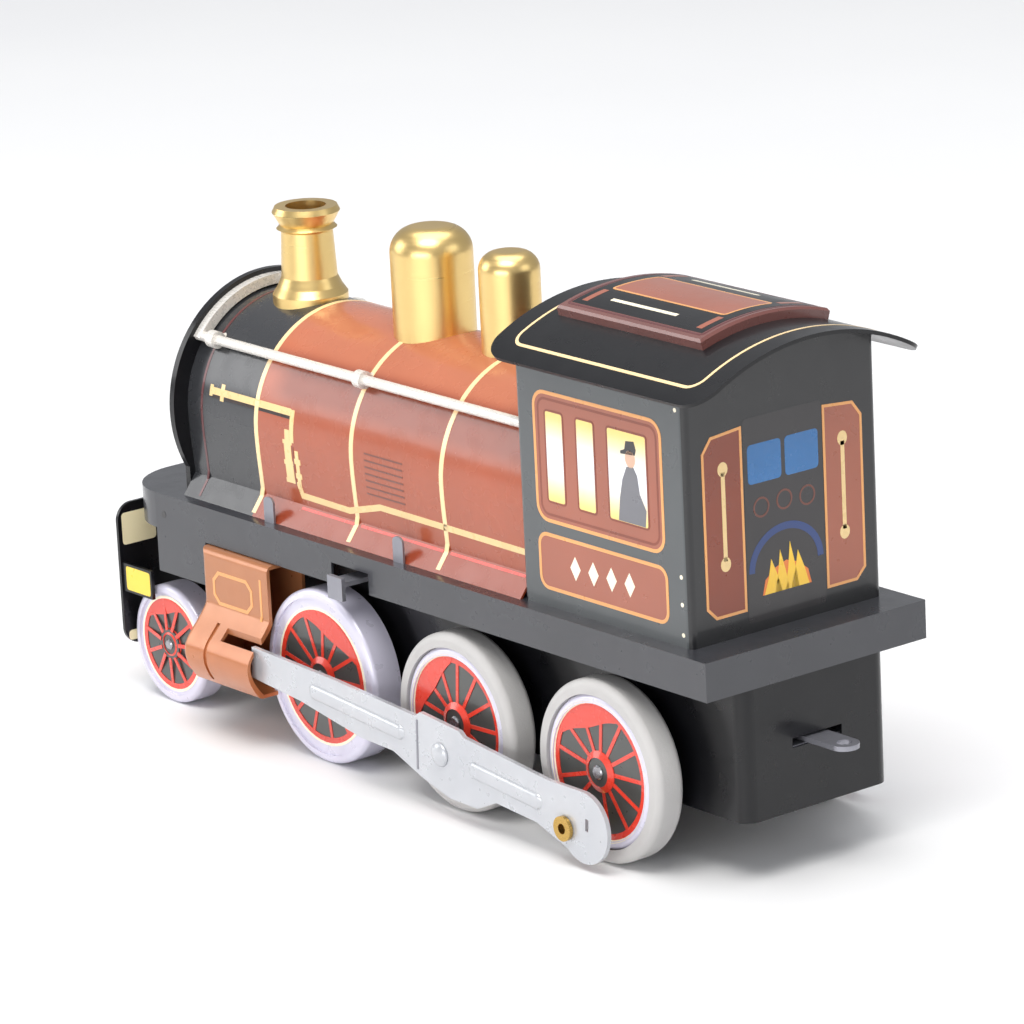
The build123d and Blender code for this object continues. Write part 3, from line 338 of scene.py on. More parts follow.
def wheel_tin(name, centre, print_radius):
    """Wheel pressing: dark print inside the rim line and lilac-white tin outside it."""
    paint = Paint(name)
    across = paint.math("SUBTRACT", paint.axis("X"), centre.x)
    up = paint.math("SUBTRACT", paint.axis("Z"), centre.z)
    across_squared = paint.math("MULTIPLY", across, across)
    up_squared = paint.math("MULTIPLY", up, up)
    radius = paint.math("SQRT", paint.math("ADD", across_squared, up_squared))
    outside = paint.step(radius, print_radius, 0.15 * MM)
    dark = paint.tint(rgb(70, 72, 70), 0.15, 200.0)
    pale = paint.tint(LILAC, 0.04, 100.0)
    tin_wave(paint, 0.4)
    rough = paint.scaled(paint.noise(300.0), 0.25, 0.38)
    return paint.finish(paint.mix(outside, dark, pale), rough, 0.15, 0.5, 0.1)


def window_glow():
    """Printed window: yellow at the top and bottom, near white in the middle."""
    paint = Paint("window_print")
    height = paint.axis("Z")
    upper = paint.step(height, window_mid + 5.0 * MM, 9 * MM)
    lower = paint.math("SUBTRACT", 1.0, paint.step(height, window_mid - 5.0 * MM, 9 * MM))
    edge = paint.math("ADD", upper, lower, clamp=True)
    colour = paint.mix(paint.math("MULTIPLY", edge, 0.85), rgb(244, 244, 252), rgb(244, 206, 74))
    tin_wave(paint, 0.3)
    return paint.finish(colour, 0.25, 0.0, 0.5, 0.08)


def disc_radius(prefix, tyred, margin):
    """Radius of a wheel's printed disc: inside the tyre, or a share of a plain rim."""
    low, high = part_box(f"{prefix}_wheel_left")
    rim = (high[0] - low[0]) / 2
    return rim - margin if tyred else rim * plain_disc_share


# Places of the printed decoration that materials share, in the frame's metres.
plain_disc_share = 0.765
smokebox_length = 25.0 * MM
middle_band = 58.5 * MM
rear_band = 89.0 * MM
smokebox_edge = boiler_high.x - smokebox_length
band_places = (smokebox_edge, boiler_high.x - middle_band, boiler_high.x - rear_band)
window_mid = cab_low.z + 31.5 * MM

black = slate_litho("black_litho", BLACK, 0.3)
valance = slate_litho("valance_litho", VALANCE)
boiler_paint = boiler_litho()
copper = copper_litho()
brass = turned_brass("turned_brass", rgb(240, 208, 140), 0.3)
eyelet_brass = turned_brass("eyelet_brass", rgb(200, 164, 92), 0.24)
gear_brass = bare_metal("gear_brass", rgb(206, 166, 92), 0.3, (1, 0.05, 1))
bright = bare_metal("bright_wire", rgb(232, 228, 222), 0.26, (0.3, 1, 1), 0.3)
grey_tin = bare_metal("grey_tin", rgb(150, 150, 158), 0.34, (1, 1, 0.06), 0.6)
steel = bare_metal("drawn_steel", rgb(170, 170, 174), 0.26, (1, 0.05, 1))
blued = bare_metal("blued_spring", rgb(70, 78, 100), 0.28, (1, 1, 0.1))
rods = rod_tin()
rubber = tyre_rubber()
cream_ink = litho("cream_ink", CREAM, 0.03, 0.3)
gold_ink = litho("gold_ink", GOLD, 0.05, 0.3)
ivory_ink = litho("ivory_ink", IVORY, 0.03, 0.3)
pipe_ink = litho("pipe_ink", rgb(232, 200, 140), 0.08, 0.28)
pipe_shadow = litho("pipe_shadow", rgb(44, 28, 24), 0.08, 0.3)
brown_ink = litho("brown_ink", rgb(158, 86, 62), 0.06, 0.3)
rust_ink = litho("rust_ink", rgb(128, 52, 22), 0.10, 0.3)
dark_ink = litho("dark_ink", rgb(34, 30, 32), 0.08, 0.3)
maroon_ink = litho("maroon_ink", rgb(92, 36, 38), 0.08, 0.3)
louvre_ink = litho("louvre_ink", rgb(104, 50, 34), 0.05, 0.3)
blue_ink = litho("blue_ink", rgb(34, 104, 164), 0.10, 0.25)
navy_ink = litho("navy_ink", rgb(24, 54, 112), 0.10, 0.3)
flame_ink = litho("flame_ink", rgb(246, 196, 52), 0.12, 0.3)
ember_ink = litho("ember_ink", rgb(226, 120, 36), 0.12, 0.3)
red_ink = litho("red_ink", RED, 0.10, 0.26)
coat_ink = litho("coat_ink", rgb(112, 112, 118), 0.12, 0.3)
skin_ink = litho("skin_ink", rgb(216, 176, 150), 0.06, 0.3)
window_print = window_glow()
yellow_tin = litho("yellow_tin", rgb(240, 206, 52), 0.06, 0.3)
yellow_cream = litho("yellow_cream", rgb(244, 232, 190), 0.05, 0.3)
vent_ink = litho("vent_ink", rgb(112, 66, 60), 0.08, 0.26)

wheel_sets = (("rear", rear_at, 1), ("middle", middle_at, 1), ("front", front_at, 0), ("pilot", pilot_at, 0))
weight_angles = {"rear": 72, "middle": 40, "front": 112, "pilot": 75}
looks = {
    "boiler_shell": boiler_paint,
    "chimney": brass,
    "steam_dome": brass,
    "safety_dome": brass,
    "crank_pins": eyelet_brass,
    "cylinder_left": copper,
    "cylinder_right": copper,
    "handrails": bright,
    "handrail_knobs": bright,
    "boiler_tabs": grey_tin,
    "start_lever": grey_tin,
    "drawbar": grey_tin,
    "drawbar_shelf": grey_tin,
    "pivot_rivets": grey_tin,
    "rod_left": rods,
    "rod_right": rods,
    "mainspring": blued,
    "winding_key": steel,
    "winding_arbor": steel,
    "ratchet_wheel": steel,
    "click": steel,
    "roof_ventilator": vent_ink,
}
looks["cab_shell"] = cab_litho()
looks["footplate"] = valance
for part in ("underframe", "buffer_beam", "smokebox_front", "roof", "pilot_carrier"):
    looks[part] = black
for part in ("great_wheel", "second_wheel", "second_pinion", "idler_wheel", "idler_pinion", "governor"):
    looks[part] = gear_brass
for part in ("motor_plate_left", "motor_plate_right", "motor_pillars", "motor_brackets"):
    looks[part] = steel
for prefix, centre, tyred in wheel_sets:
    looks[f"{prefix}_axle"] = steel
    paint_radius = disc_radius(prefix, tyred, 1.9 * MM)
    for hand in ("left", "right"):
        wheel_name = f"{prefix}_wheel_{hand}"
        looks[wheel_name] = wheel_tin(f"{wheel_name}_tin", centre, paint_radius)
        if tyred:
            looks[f"{prefix}_tyre_{hand}"] = rubber
for prefix in ("rear", "middle"):
    looks[f"{prefix}_axle_gear"] = gear_brass
for name, material in looks.items():
    for material_slot in nodes[name].material_slots:
        material_slot.material = material

# ---- printed decoration: thin closed strips and plates laid on the CAD surfaces ---

PROUD = 0.06 * MM
SUNK = 0.05 * MM
trees = {}


def surface(node):
    """A ray-casting tree of a CAD node's mesh."""
    if node not in trees:
        body = bmesh.new()
        body.from_mesh(nodes[node].data)
        trees[node] = BVHTree.FromBMesh(body)
        body.free()
    return trees[node]


def land(node, start, direction):
    """Where a ray lands on a node, and the surface normal there."""
    hit, normal, _, _ = surface(node).ray_cast(start, direction)
    if hit is None:
        return None, None
    if normal.dot(direction) > 0:
        normal = -normal
    return hit, normal


def slot_of(node):
    """The record's material slot of a node."""
    if node.startswith("cylinder"):
        return "cylinder_tin"
    if node.startswith("rod_"):
        return "rod_steel"
    if "wheel" in node:
        return "wheel_tin"
    named = {"boiler_shell": "boiler_tin", "roof_ventilator": "ventilator_tin", "crank_pins": "pin_brass"}
    return named.get(node, "black_tin")


def make_object(name, verts, faces, material, body, slot_name, smooth=False):
    """A mesh object that rides a body and wears the given material; slot_name is not used."""
    mesh = bpy.data.meshes.new(name)
    mesh.from_pydata([tuple(v) for v in verts], [], faces)
    check = bmesh.new()
    check.from_mesh(mesh)
    bmesh.ops.recalc_face_normals(check, faces=check.faces)
    check.to_mesh(mesh)
    check.free()
    mesh.materials.append(material)
    if smooth:
        mesh.shade_smooth()
    made = bpy.data.objects.new(name, mesh)
    bpy.context.scene.collection.objects.link(made)
    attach(made, body)
    return made


def thicken(rows, closed=False, lift=PROUD, sink=SUNK):
    """Closed strip from rows of (point, normal): its outer face is lifted, its back sunk."""
    width = len(rows[0])
    verts = []
    for row in rows:
        for point, normal in row:
            verts.append(point + normal * lift)
        for point, normal in row:
            verts.append(point - normal * sink)
    faces = []
    count = len(rows)
    turns = count if closed else count - 1
    for i in range(turns):
        a = i * 2 * width
        b = ((i + 1) % count) * 2 * width
        for j in range(width - 1):
            faces.append((a + j, a + j + 1, b + j + 1, b + j))
            faces.append((a + width + j, b + width + j, b + width + j + 1, a + width + j + 1))
        faces.append((a, b, b + width, a + width))
        faces.append((a + width - 1, a + 2 * width - 1, b + 2 * width - 1, b + width - 1))
    if not closed:
        last = (count - 1) * 2 * width
        for j in range(width - 1):
            faces.append((j, width + j, width + j + 1, j + 1))
            faces.append((last + j, last + j + 1, last + width + j + 1, last + width + j))
    return verts, faces


def resample(points, spacing, closed=False):
    """Points at an even spacing along a flat path, keeping its corners."""
    result = []
    ends = points + [points[0]] if closed else points
    for a, b in zip(ends[:-1], ends[1:]):
        length = math.dist(a, b)
        steps = max(1, round(length / spacing))
        for i in range(steps):
            t = i / steps
            result.append((a[0] + (b[0] - a[0]) * t, a[1] + (b[1] - a[1]) * t))
    if not closed:
        result.append(tuple(points[-1]))
    return result


def offsets(points, half, closed=False):
    """Left and right edges of a flat path, mitred at its corners."""
    count = len(points)
    rows = []
    for i, point in enumerate(points):
        before = points[(i - 1) % count] if closed or i else None
        after = points[(i + 1) % count] if closed or i < count - 1 else None
        directions = []
        for a, b in ((before, point), (point, after)):
            if a is not None and b is not None and math.dist(a, b) > 1e-9:
                d = Vector((b[0] - a[0], b[1] - a[1]))
                directions.append(d.normalized())
        along = sum(directions, Vector((0, 0))).normalized()
        normal = Vector((-along.y, along.x))
        if len(directions) == 2:
            cosine = max(0.35, normal.dot(Vector((-directions[0].y, directions[0].x))))
        else:
            cosine = 1.0
        shift = normal * (half / cosine)
        rows.append(((point[0] + shift.x, point[1] + shift.y), (point[0] - shift.x, point[1] - shift.y)))
    return rows


def rounded(x0, y0, x1, y1, radius, steps=6):
    """Corner points of a rounded rectangle."""
    points = []
    centres = (
        (x1 - radius, y1 - radius, 0),
        (x0 + radius, y1 - radius, 90),
        (x0 + radius, y0 + radius, 180),
        (x1 - radius, y0 + radius, 270),
    )
    for cx, cy, start in centres:
        for i in range(steps + 1):
            angle = math.radians(start + 90 * i / steps)
            points.append((cx + radius * math.cos(angle), cy + radius * math.sin(angle)))
    return points


def oval(u, v, half_width, half_height, count):
    """Evenly turned points round an oval."""
    turns = [math.tau * i / count for i in range(count)]
    return [(u + half_width * math.cos(a), v + half_height * math.sin(a)) for a in turns]


def circle(u, v, radius, count):
    """Evenly spaced points round a circle."""
    return oval(u, v, radius, radius, count)


class Side:
    """Maps flat (u, v) onto a CAD surface by casting rays along one axis."""

    far = 0.2

    def __init__(self, node, kind, body="chassis"):
        self.node = node
        self.kind = kind
        self.body = body

    def place(self, u, v):
        far = self.far
        if self.kind == "left":
            start, direction = Vector((u, far, v)), Vector((0, -1, 0))
        elif self.kind == "right":
            start, direction = Vector((u, -far, v)), Vector((0, 1, 0))
        elif self.kind == "rear":
            start, direction = Vector((-far, u, v)), Vector((1, 0, 0))
        elif self.kind == "front":
            start, direction = Vector((far, u, v)), Vector((-1, 0, 0))
        elif self.kind == "top":
            start, direction = Vector((u, v, far)), Vector((0, 0, -1))
        else:
            # Round the boiler: v is the angle about its axis.
            direction = Vector((0, -math.cos(v), -math.sin(v)))
            start = Vector((u, 0, boiler_axis_z)) - direction * far
        return land(self.node, start, direction)

    def make(self, name, verts, faces, material, smooth=False):
        """A piece on this surface, with the body of this side."""
        return make_object(name, verts, faces, material, self.body, slot_of(self.node), smooth)

    def stroke(self, name, points, width, material, closed=False, spacing=1.2 * MM, lift=PROUD):
        """A printed line along a flat path."""
        path = resample(points, spacing, closed)
        rows = []
        for edges in offsets(path, width / 2, closed):
            row = [self.place(*edge) for edge in edges]
            if any(point is None for point, _ in row):
                continue
            rows.append(row)
        verts, faces = thicken(rows, closed, lift)
        return self.make(name, verts, faces, material)

    def patch(self, name, low, high, material, lift=PROUD * 0.7, spacing=1.0 * MM):
        """A printed rectangle that follows a curved surface, from a grid of rays."""
        across = max(1, round((high[1] - low[1]) / spacing))
        along = max(1, round((high[0] - low[0]) / (4 * spacing)))
        rows = []
        for i in range(along + 1):
            u = low[0] + (high[0] - low[0]) * i / along
            lines = [low[1] + (high[1] - low[1]) * j / across for j in range(across + 1)]
            rows.append([self.place(u, v) for v in lines])
        verts, faces = thicken(rows, False, lift)
        return self.make(name, verts, faces, material)

    def disc(self, name, u, v, radius, material, lift=PROUD):
        """A printed round spot."""
        return self.fill(name, circle(u, v, radius, 20), material, lift)

    def fill(self, name, points, material, lift=PROUD * 0.6):
        """A printed area on a flat surface, from its outline."""
        rows = [self.place(u, v) for u, v in points]
        count = len(rows)
        verts = [point + normal * lift for point, normal in rows]
        verts += [point - normal * SUNK for point, normal in rows]
        faces = [tuple(range(count)), tuple(range(2 * count - 1, count - 1, -1))]
        for i in range(count):
            j = (i + 1) % count
            faces.append((i, i + count, j + count, j))
        return self.make(name, verts, faces, material)


hands = (("left", 1), ("right", -1))

# ---- boiler bands: cream lines over the crown, from foot to foot -----------------

flare_reach = 26.0 * MM


def boiler_band(name, x, width, material):
    """A line round the boiler at one station, found by rays towards its axis."""
    foot_angle = math.atan2(deck + 0.3 * MM - boiler_axis_z, flare_reach)
    turns = 96
    rows = []
    around = Side("boiler_shell", "around")
    for i in range(turns + 1):
        angle = foot_angle + (math.pi - 2 * foot_angle) * i / turns
        row = [around.place(x - width / 2, angle), around.place(x + width / 2, angle)]
        if all(point is not None for point, _ in row):
            rows.append(row)
    verts, faces = thicken(rows)
    return around.make(name, verts, faces, material)


for number, x in enumerate(band_places):
    boiler_band(f"boiler_band_{number + 1}", x, 1.35 * MM, cream_ink)
boiler_band("smokebox_line", boiler_high.x - 5.2 * MM, 0.7 * MM, maroon_ink)

# ---- boiler sides: pipe run, pump, louvres and foot lines --------------------------


def at(x, z):
    """A print position measured from the smokebox edge and the footplate."""
    return (smokebox_edge + x * MM, deck + z * MM)


pipe_upper = [at(17.0, 24.4), at(-12.0, 24.4)]
pipe_down = [at(-12.6, 25.0), at(-12.6, 18.0)]
pipe_lower = [at(-13.4, 9.5), at(-14.6, 6.6), at(-31.0, 6.4), at(-42.0, 9.2), at(-90.5, 9.0)]
# Each pump piece: its name, place along the boiler, top, bottom and width.
pump_pieces = (
    ("neck", -11.0, 20.6, 17.8, 1.6),
    ("cap", -11.0, 18.3, 17.4, 3.2),
    ("barrel", -11.0, 17.4, 13.6, 2.4),
    ("collar", -11.0, 13.8, 12.8, 3.4),
    ("chest", -11.0, 12.8, 9.6, 2.7),
    ("foot", -11.0, 9.8, 8.8, 3.3),
    ("stem", -14.0, 16.4, 7.6, 1.2),
    ("stem_nut", -14.0, 14.6, 13.4, 2.2),
    ("stem_gland", -14.0, 11.4, 10.2, 2.2),
)
# The foot line runs between the bands and stops short of each.
foot_spans = ((-14.5, -33.0), (-35.2, -63.0), (-65.5, -90.0))
foot_line_height = 3.9
louvre_count = 7
louvre_foot = 11.6
louvre_pitch = 1.45


def print_pipes(side, hand):
    """The upper pipe with its shadow and fittings, and the long lower pipe."""
    shadow = [(u, v - 1.1 * MM) for u, v in pipe_upper]
    side.stroke(f"pipe_shadow_{hand}", shadow, 0.7 * MM, pipe_shadow, lift=PROUD * 0.6)
    side.stroke(f"pipe_upper_{hand}", pipe_upper, 1.5 * MM, pipe_ink)
    side.stroke(f"pipe_flange_{hand}", [at(12.6, 26.2), at(12.6, 22.6)], 1.3 * MM, pipe_ink)
    side.stroke(f"pipe_nut_{hand}", [at(16.6, 25.6), at(16.6, 23.2)], 1.1 * MM, pipe_ink)
    side.stroke(f"pipe_down_{hand}", pipe_down, 1.4 * MM, pipe_ink)
    side.stroke(f"pipe_lower_{hand}", pipe_lower, 1.4 * MM, pipe_ink)


def print_pump(side, hand):
    """The pump, stacked from short wide strokes, and the dark gap beside its stem."""
    for label, x, top, bottom, width in pump_pieces:
        side.stroke(f"pump_{label}_{hand}", [at(x, top), at(x, bottom)], width * MM, pipe_ink)
    gap = [at(-12.75, 17.2), at(-12.75, 8.6)]
    side.stroke(f"pump_gap_{hand}", gap, 0.5 * MM, rust_ink, lift=PROUD * 1.2)


def print_louvres(side, hand):
    """The louvre lines and the red line along the foot."""
    for line in range(louvre_count):
        z = louvre_foot + louvre_pitch * line
        ends = [at(-38.0, z), at(-51.0, z)]
        side.stroke(f"louvre_{hand}_{line + 1}", ends, 0.32 * MM, louvre_ink)
    for front, rear in foot_spans:
        ends = [at(front, foot_line_height), at(rear, foot_line_height)]
        side.stroke(f"foot_line_{hand}_{int(-front)}", ends, 0.5 * MM, red_ink)


for hand, _ in hands:
    sheet_side = Side("boiler_shell", hand)
    print_pipes(sheet_side, hand)
    print_pump(sheet_side, hand)
    print_louvres(sheet_side, hand)

# ---- cab sides: window panel, number plate with a plain ornament ------------------

panel_rear = cab_low.x + 7.2 * MM
panel_front = cab_high.x - 6.0 * MM
panel_bottom = cab_low.z + 18.2 * MM
panel_top = cab_low.z + 44.7 * MM
plate_bottom = cab_low.z + 4.0 * MM
plate_top = cab_low.z + 15.2 * MM
window_low = panel_bottom + 4.0 * MM
window_high = panel_top - 3.6 * MM
# Front edge and width of each window; the widest holds the driver.
window_spans = (
    (panel_front - 3.4 * MM, 5.6 * MM),
    (panel_front - 13.0 * MM, 5.6 * MM),
    (panel_front - 22.6 * MM, 12.0 * MM),
)
driver_place = window_spans[2][0] - 7.0 * MM
coat_outline = [
    (-4.0, 0),
    (4.2, 0),
    (3.6, 4.6),
    (2.6, 8.6),
    (1.2, 11.4),
    (-0.9, 11.6),
    (-2.0, 10.0),
    (-2.6, 6.4),
    (-4.4, 3.4),
]
head_outline = oval(0, 13.1, 1.55, 1.8, 18)
cap_outline = [(-1.5, 14.1), (2.9, 13.8), (2.9, 14.4), (1.6, 14.9), (1.2, 16.6), (-1.3, 16.9), (-1.9, 15.2)]
lozenge_outline = [(1.6, 0), (0, 2.5), (-1.6, 0), (0, -2.5)]
lozenge_places = (-8.4, -2.8, 2.8, 8.4)
rivet_heights = (2.6, 8.8, 14.4, 48.0)


def print_driver(side, hand, x, low):
    """A printed silhouette of an engine driver: cap, head and coat, with no features."""
    parts = (
        ("coat", coat_outline, coat_ink),
        ("head", head_outline, skin_ink),
        ("cap", cap_outline, dark_ink),
    )
    for label, outline, ink in parts:
        points = [(x + u * MM, low + v * MM) for u, v in outline]
        side.fill(f"driver_{label}_{hand}", points, ink, lift=PROUD * 1.3)


def print_window_panel(side, hand):
    """The upper panel with its lines, its three windows and the driver."""
    panel = rounded(panel_rear, panel_bottom, panel_front, panel_top, 3.2 * MM)
    side.fill(f"window_panel_{hand}", panel, brown_ink, lift=PROUD * 0.5)
    side.stroke(f"window_panel_line_{hand}", panel, 0.75 * MM, gold_ink, closed=True)
    gap = 1.3 * MM
    inner = rounded(panel_rear + gap, panel_bottom + gap, panel_front - gap, panel_top - gap, 2.2 * MM)
    shade_name = f"window_panel_shade_{hand}"
    side.stroke(shade_name, inner, 0.55 * MM, rust_ink, closed=True, lift=PROUD * 0.8)
    for number, (front, width) in enumerate(window_spans, 1):
        outline = rounded(front - width, window_low, front, window_high, 0.7 * MM, 3)
        line_name = f"window_line_{hand}_{number}"
        side.fill(f"window_{hand}_{number}", outline, window_print, lift=PROUD)
        side.stroke(line_name, outline, 0.45 * MM, rust_ink, closed=True, lift=PROUD * 1.4)
    print_driver(side, hand, driver_place, window_low + 0.3 * MM)


def print_number_plate(side, hand):
    """The lower panel, with four lozenges in place of a number."""
    plate = rounded(panel_rear - 0.4 * MM, plate_bottom, panel_front, plate_top, 2.4 * MM)
    side.fill(f"cab_plate_{hand}", plate, brown_ink, lift=PROUD * 0.5)
    side.stroke(f"cab_plate_line_{hand}", plate, 0.75 * MM, gold_ink, closed=True)
    middle_x = (panel_rear + panel_front) / 2
    middle_z = (plate_bottom + plate_top) / 2
    for number, shift in enumerate(lozenge_places, 1):
        points = [(middle_x + (shift + u) * MM, middle_z + v * MM) for u, v in lozenge_outline]
        side.fill(f"plate_lozenge_{hand}_{number}", points, ivory_ink, lift=PROUD)


for hand, _ in hands:
    cab_side = Side("cab_shell", hand)
    print_window_panel(cab_side, hand)
    print_number_plate(cab_side, hand)
    rivet_x = cab_low.x + 2.4 * MM
    for number, height in enumerate(rivet_heights, 1):
        cab_side.disc(f"cab_rivet_{hand}_{number}", rivet_x, cab_low.z + height * MM, 0.45 * MM, ivory_ink)
    # Painted shade: a dark disc stands in for a small hole in the valance.
    hole = (plate_high.x - 18.0 * MM, deck - 4.6 * MM)
    Side("footplate", hand).disc(f"valance_hole_shade_{hand}", *hole, 0.8 * MM, dark_ink)

# ---- smokebox front and buffer beam: plain printed lines ---------------------------


def turn_from_right(point):
    """Angle round the boiler's axis, running on past a half turn at the lower left."""
    rise = point[1] - boiler_axis_z
    angle = math.atan2(rise, point[0])
    return angle if rise > 0 or point[0] > 0 else math.tau + angle


front_side = Side("smokebox_front", "front")
for label, radius, width, ink in (("outer", 25.4, 0.7, gold_ink), ("inner", 20.4, 0.6, maroon_ink)):
    whole = circle(0, boiler_axis_z, radius * MM, 72)
    above_deck = [point for point in whole if point[1] > deck + 2 * MM]
    front_side.stroke(f"front_line_{label}", sorted(above_deck, key=turn_from_right), width * MM, ink)
beam_front = Side("buffer_beam", "front")
beam_gap = 2.2 * MM
beam_outline = rounded(
    beam_low.y + beam_gap,
    beam_low.z + beam_gap,
    beam_high.y - beam_gap,
    beam_high.z - beam_gap,
    2.6 * MM,
)
beam_front.fill("beam_front_field", beam_outline, brown_ink, lift=PROUD * 0.5)
beam_front.stroke("beam_front_line", beam_outline, 0.7 * MM, gold_ink, closed=True)

# ---- cab rear: side panels with printed grab rails, and the printed backhead ------

rear_side = Side("cab_shell", "rear")
rear_panel_low = cab_low.z + 5.0 * MM
rear_panel_high = cab_low.z + 42.0 * MM
rear_panel_inner = 10.8 * MM
rear_panel_outer = 20.6 * MM
rear_rail_place = 15.6 * MM


def print_rear_panel(hand, sign):
    """One panel beside the backhead, cut at its outer corners, with its grab rail."""
    cut = 2.2 * MM
    inner = sign * rear_panel_inner
    outer = sign * rear_panel_outer
    inward = -sign * cut
    outline = [
        (inner, rear_panel_low),
        (outer + inward, rear_panel_low),
        (outer, rear_panel_low + cut),
        (outer, rear_panel_high - 1.6 * cut),
        (outer + inward, rear_panel_high - 0.3 * cut),
        (inner, rear_panel_high),
    ]
    # Painted shade: the left panel takes the darker rust ink, the right one plain brown.
    rear_side.fill(f"rear_panel_{hand}", outline, rust_ink if sign > 0 else brown_ink, lift=PROUD * 0.5)
    rear_side.stroke(f"rear_panel_line_{hand}", outline, 0.6 * MM, gold_ink, closed=True)
    rail_u = sign * rear_rail_place
    rail = [(rail_u, rear_panel_low + 11 * MM), (rail_u, rear_panel_low + 29 * MM)]
    rear_side.stroke(f"rear_rail_{hand}", rail, 1.0 * MM, pipe_ink)
    for label, height in (("low", 10.4), ("high", 29.6)):
        knob = oval(rail_u, rear_panel_low + height * MM, 1.3 * MM, 1.5 * MM, 14)
        rear_side.fill(f"rear_rail_{label}_{hand}", knob, pipe_ink, lift=PROUD)


def print_fire():
    """Embers with four tongues of flame."""
    base = cab_low.z + 7.0 * MM
    ember = [(-6.4, 0), (6.4, 0), (5.6, 3.0), (3.0, 5.0), (0, 6.0), (-3.0, 5.0), (-5.6, 3.0)]
    points = [(u * MM, base + v * MM) for u, v in ember]
    rear_side.fill("fire_ember", points, ember_ink, lift=PROUD * 0.8)
    tongues = (
        ("left", -3.4, 2.4, 7.4),
        ("middle_left", -1.3, 1.8, 9.6),
        ("middle_right", 1.3, 1.9, 8.4),
        ("right", 3.6, 2.3, 7.0),
    )
    for label, u, half, height in tongues:
        right_side = [(half, 0), (0.5 * half, 0.45 * height), (0.15 * half, height)]
        tongue = [(-half, 0), *right_side, (-0.5 * half, 0.5 * height)]
        points = [(u * MM + x * MM, base + y * MM) for x, y in tongue]
        rear_side.fill(f"fire_{label}", points, flame_ink, lift=PROUD * 1.2)


def print_backhead():
    """The dark plate between the panels: windows, arch, fire and dials."""
    plate = rounded(-10.2 * MM, cab_low.z + 2.0 * MM, 10.2 * MM, cab_low.z + 43.5 * MM, 0.8 * MM, 3)
    rear_side.fill("backhead_print", plate, dark_ink, lift=PROUD * 0.4)
    for hand, sign in hands:
        near, far = sorted((sign * 0.5 * MM, sign * 9.2 * MM))
        pane = rounded(near, cab_low.z + 30.0 * MM, far, cab_low.z + 38.0 * MM, 0.9 * MM, 4)
        rear_side.fill(f"backhead_window_{hand}", pane, blue_ink, lift=PROUD * 0.8)
    arch = []
    for i in range(25):
        angle = math.pi * i / 24
        arch.append((9.0 * MM * math.cos(angle), cab_low.z + (12.0 + 8.0 * math.sin(angle)) * MM))
    rear_side.stroke("backhead_arch", arch, 1.5 * MM, navy_ink)
    print_fire()
    for number, (u, v) in enumerate(((-6.0, 25.0), (0.0, 25.4), (6.0, 25.0)), 1):
        dial = circle(u * MM, cab_low.z + v * MM, 1.9 * MM, 20)
        dial_name = f"backhead_dial_{number}"
        rear_side.stroke(dial_name, dial, 0.4 * MM, louvre_ink, closed=True, spacing=2 * MM)


for hand, sign in hands:
    print_rear_panel(hand, sign)
print_backhead()

# ---- roof lines and ventilator print ------------------------------------------------


def inset_outline(low, high, along, across, radius, steps=6):
    """A rounded outline inside a node's box, seen from above."""
    return rounded(low.x + along, low.y + across, high.x - along, high.y - across, radius, steps)


roof_side = Side("roof", "top")
roof_gap = 5.2 * MM
roof_outline = inset_outline(roof_low, roof_high, roof_gap, roof_gap * 0.75, 3.0 * MM)
roof_side.stroke("roof_line", roof_outline, 0.65 * MM, cream_ink, closed=True)

vent_side = Side("roof_ventilator", "top")
vent_gap = 1.6 * MM
vent_outline = inset_outline(vent_low, vent_high, vent_gap, vent_gap, 0.8 * MM, 3)
vent_side.stroke("ventilator_line", vent_outline, 0.45 * MM, maroon_ink, closed=True)
field_gap = 2.2 * MM
field_low = (vent_low.x + field_gap, vent_low.y + field_gap)
field_high = (vent_high.x - field_gap, vent_high.y - field_gap)
vent_side.patch("ventilator_field", field_low, field_high, black)
vent_middle = 6.2 * MM
centre_low = (vent_low.x + 5.0 * MM, -vent_middle)
centre_high = (vent_high.x - 5.0 * MM, vent_middle)
vent_side.patch("ventilator_middle", centre_low, centre_high, brown_ink, lift=PROUD)
centre_line = rounded(*centre_low, *centre_high, 0.8 * MM, 3)
vent_side.stroke("ventilator_middle_line", centre_line, 0.55 * MM, gold_ink, closed=True, lift=PROUD * 1.3)


def print_ventilator_side(hand, sign):
    """A pale slot and two brown bars on one side of the ventilator's middle."""
    slot_v = sign * 10.6 * MM
    dash = [(vent_low.x + 14 * MM, slot_v), (vent_high.x - 10 * MM, slot_v)]
    vent_side.stroke(f"ventilator_slot_{hand}", dash, 1.0 * MM, ivory_ink, lift=PROUD * 1.3)
    near, far = sorted((sign * 7.4 * MM, sign * 13.2 * MM))
    for label, place in (("rear", vent_low.x + 4.6 * MM), ("front", vent_high.x - 4.6 * MM)):
        bar_name = f"ventilator_bar_{label}_{hand}"
        vent_side.stroke(bar_name, [(place, near), (place, far)], 1.6 * MM, brown_ink, lift=PROUD * 1.2)


for hand, sign in hands:
    print_ventilator_side(hand, sign)

# ---- wheels: raised red spokes, rings and a crescent weight --------------------------

# One straight step between ray hits is enough on a flat wheel.
wheel_step = 9 * MM


def crescent_shape(centre, radius, middle):
    """A balance weight: a crescent inside the rim, thickest at its middle angle."""
    reach = math.radians(48)
    steps = 20
    turns = [middle - reach + 2 * reach * i / steps for i in range(steps + 1)]
    rim = radius - 0.3 * MM
    points = [(rim * math.cos(a), rim * math.sin(a)) for a in turns]
    for a in reversed(turns[1:-1]):
        depth = 0.28 * math.cos((a - middle) / reach * math.pi / 2)
        points.append((radius * (0.93 - depth) * math.cos(a), radius * (0.93 - depth) * math.sin(a)))
    return [(centre.x + u, centre.z + v) for u, v in points]


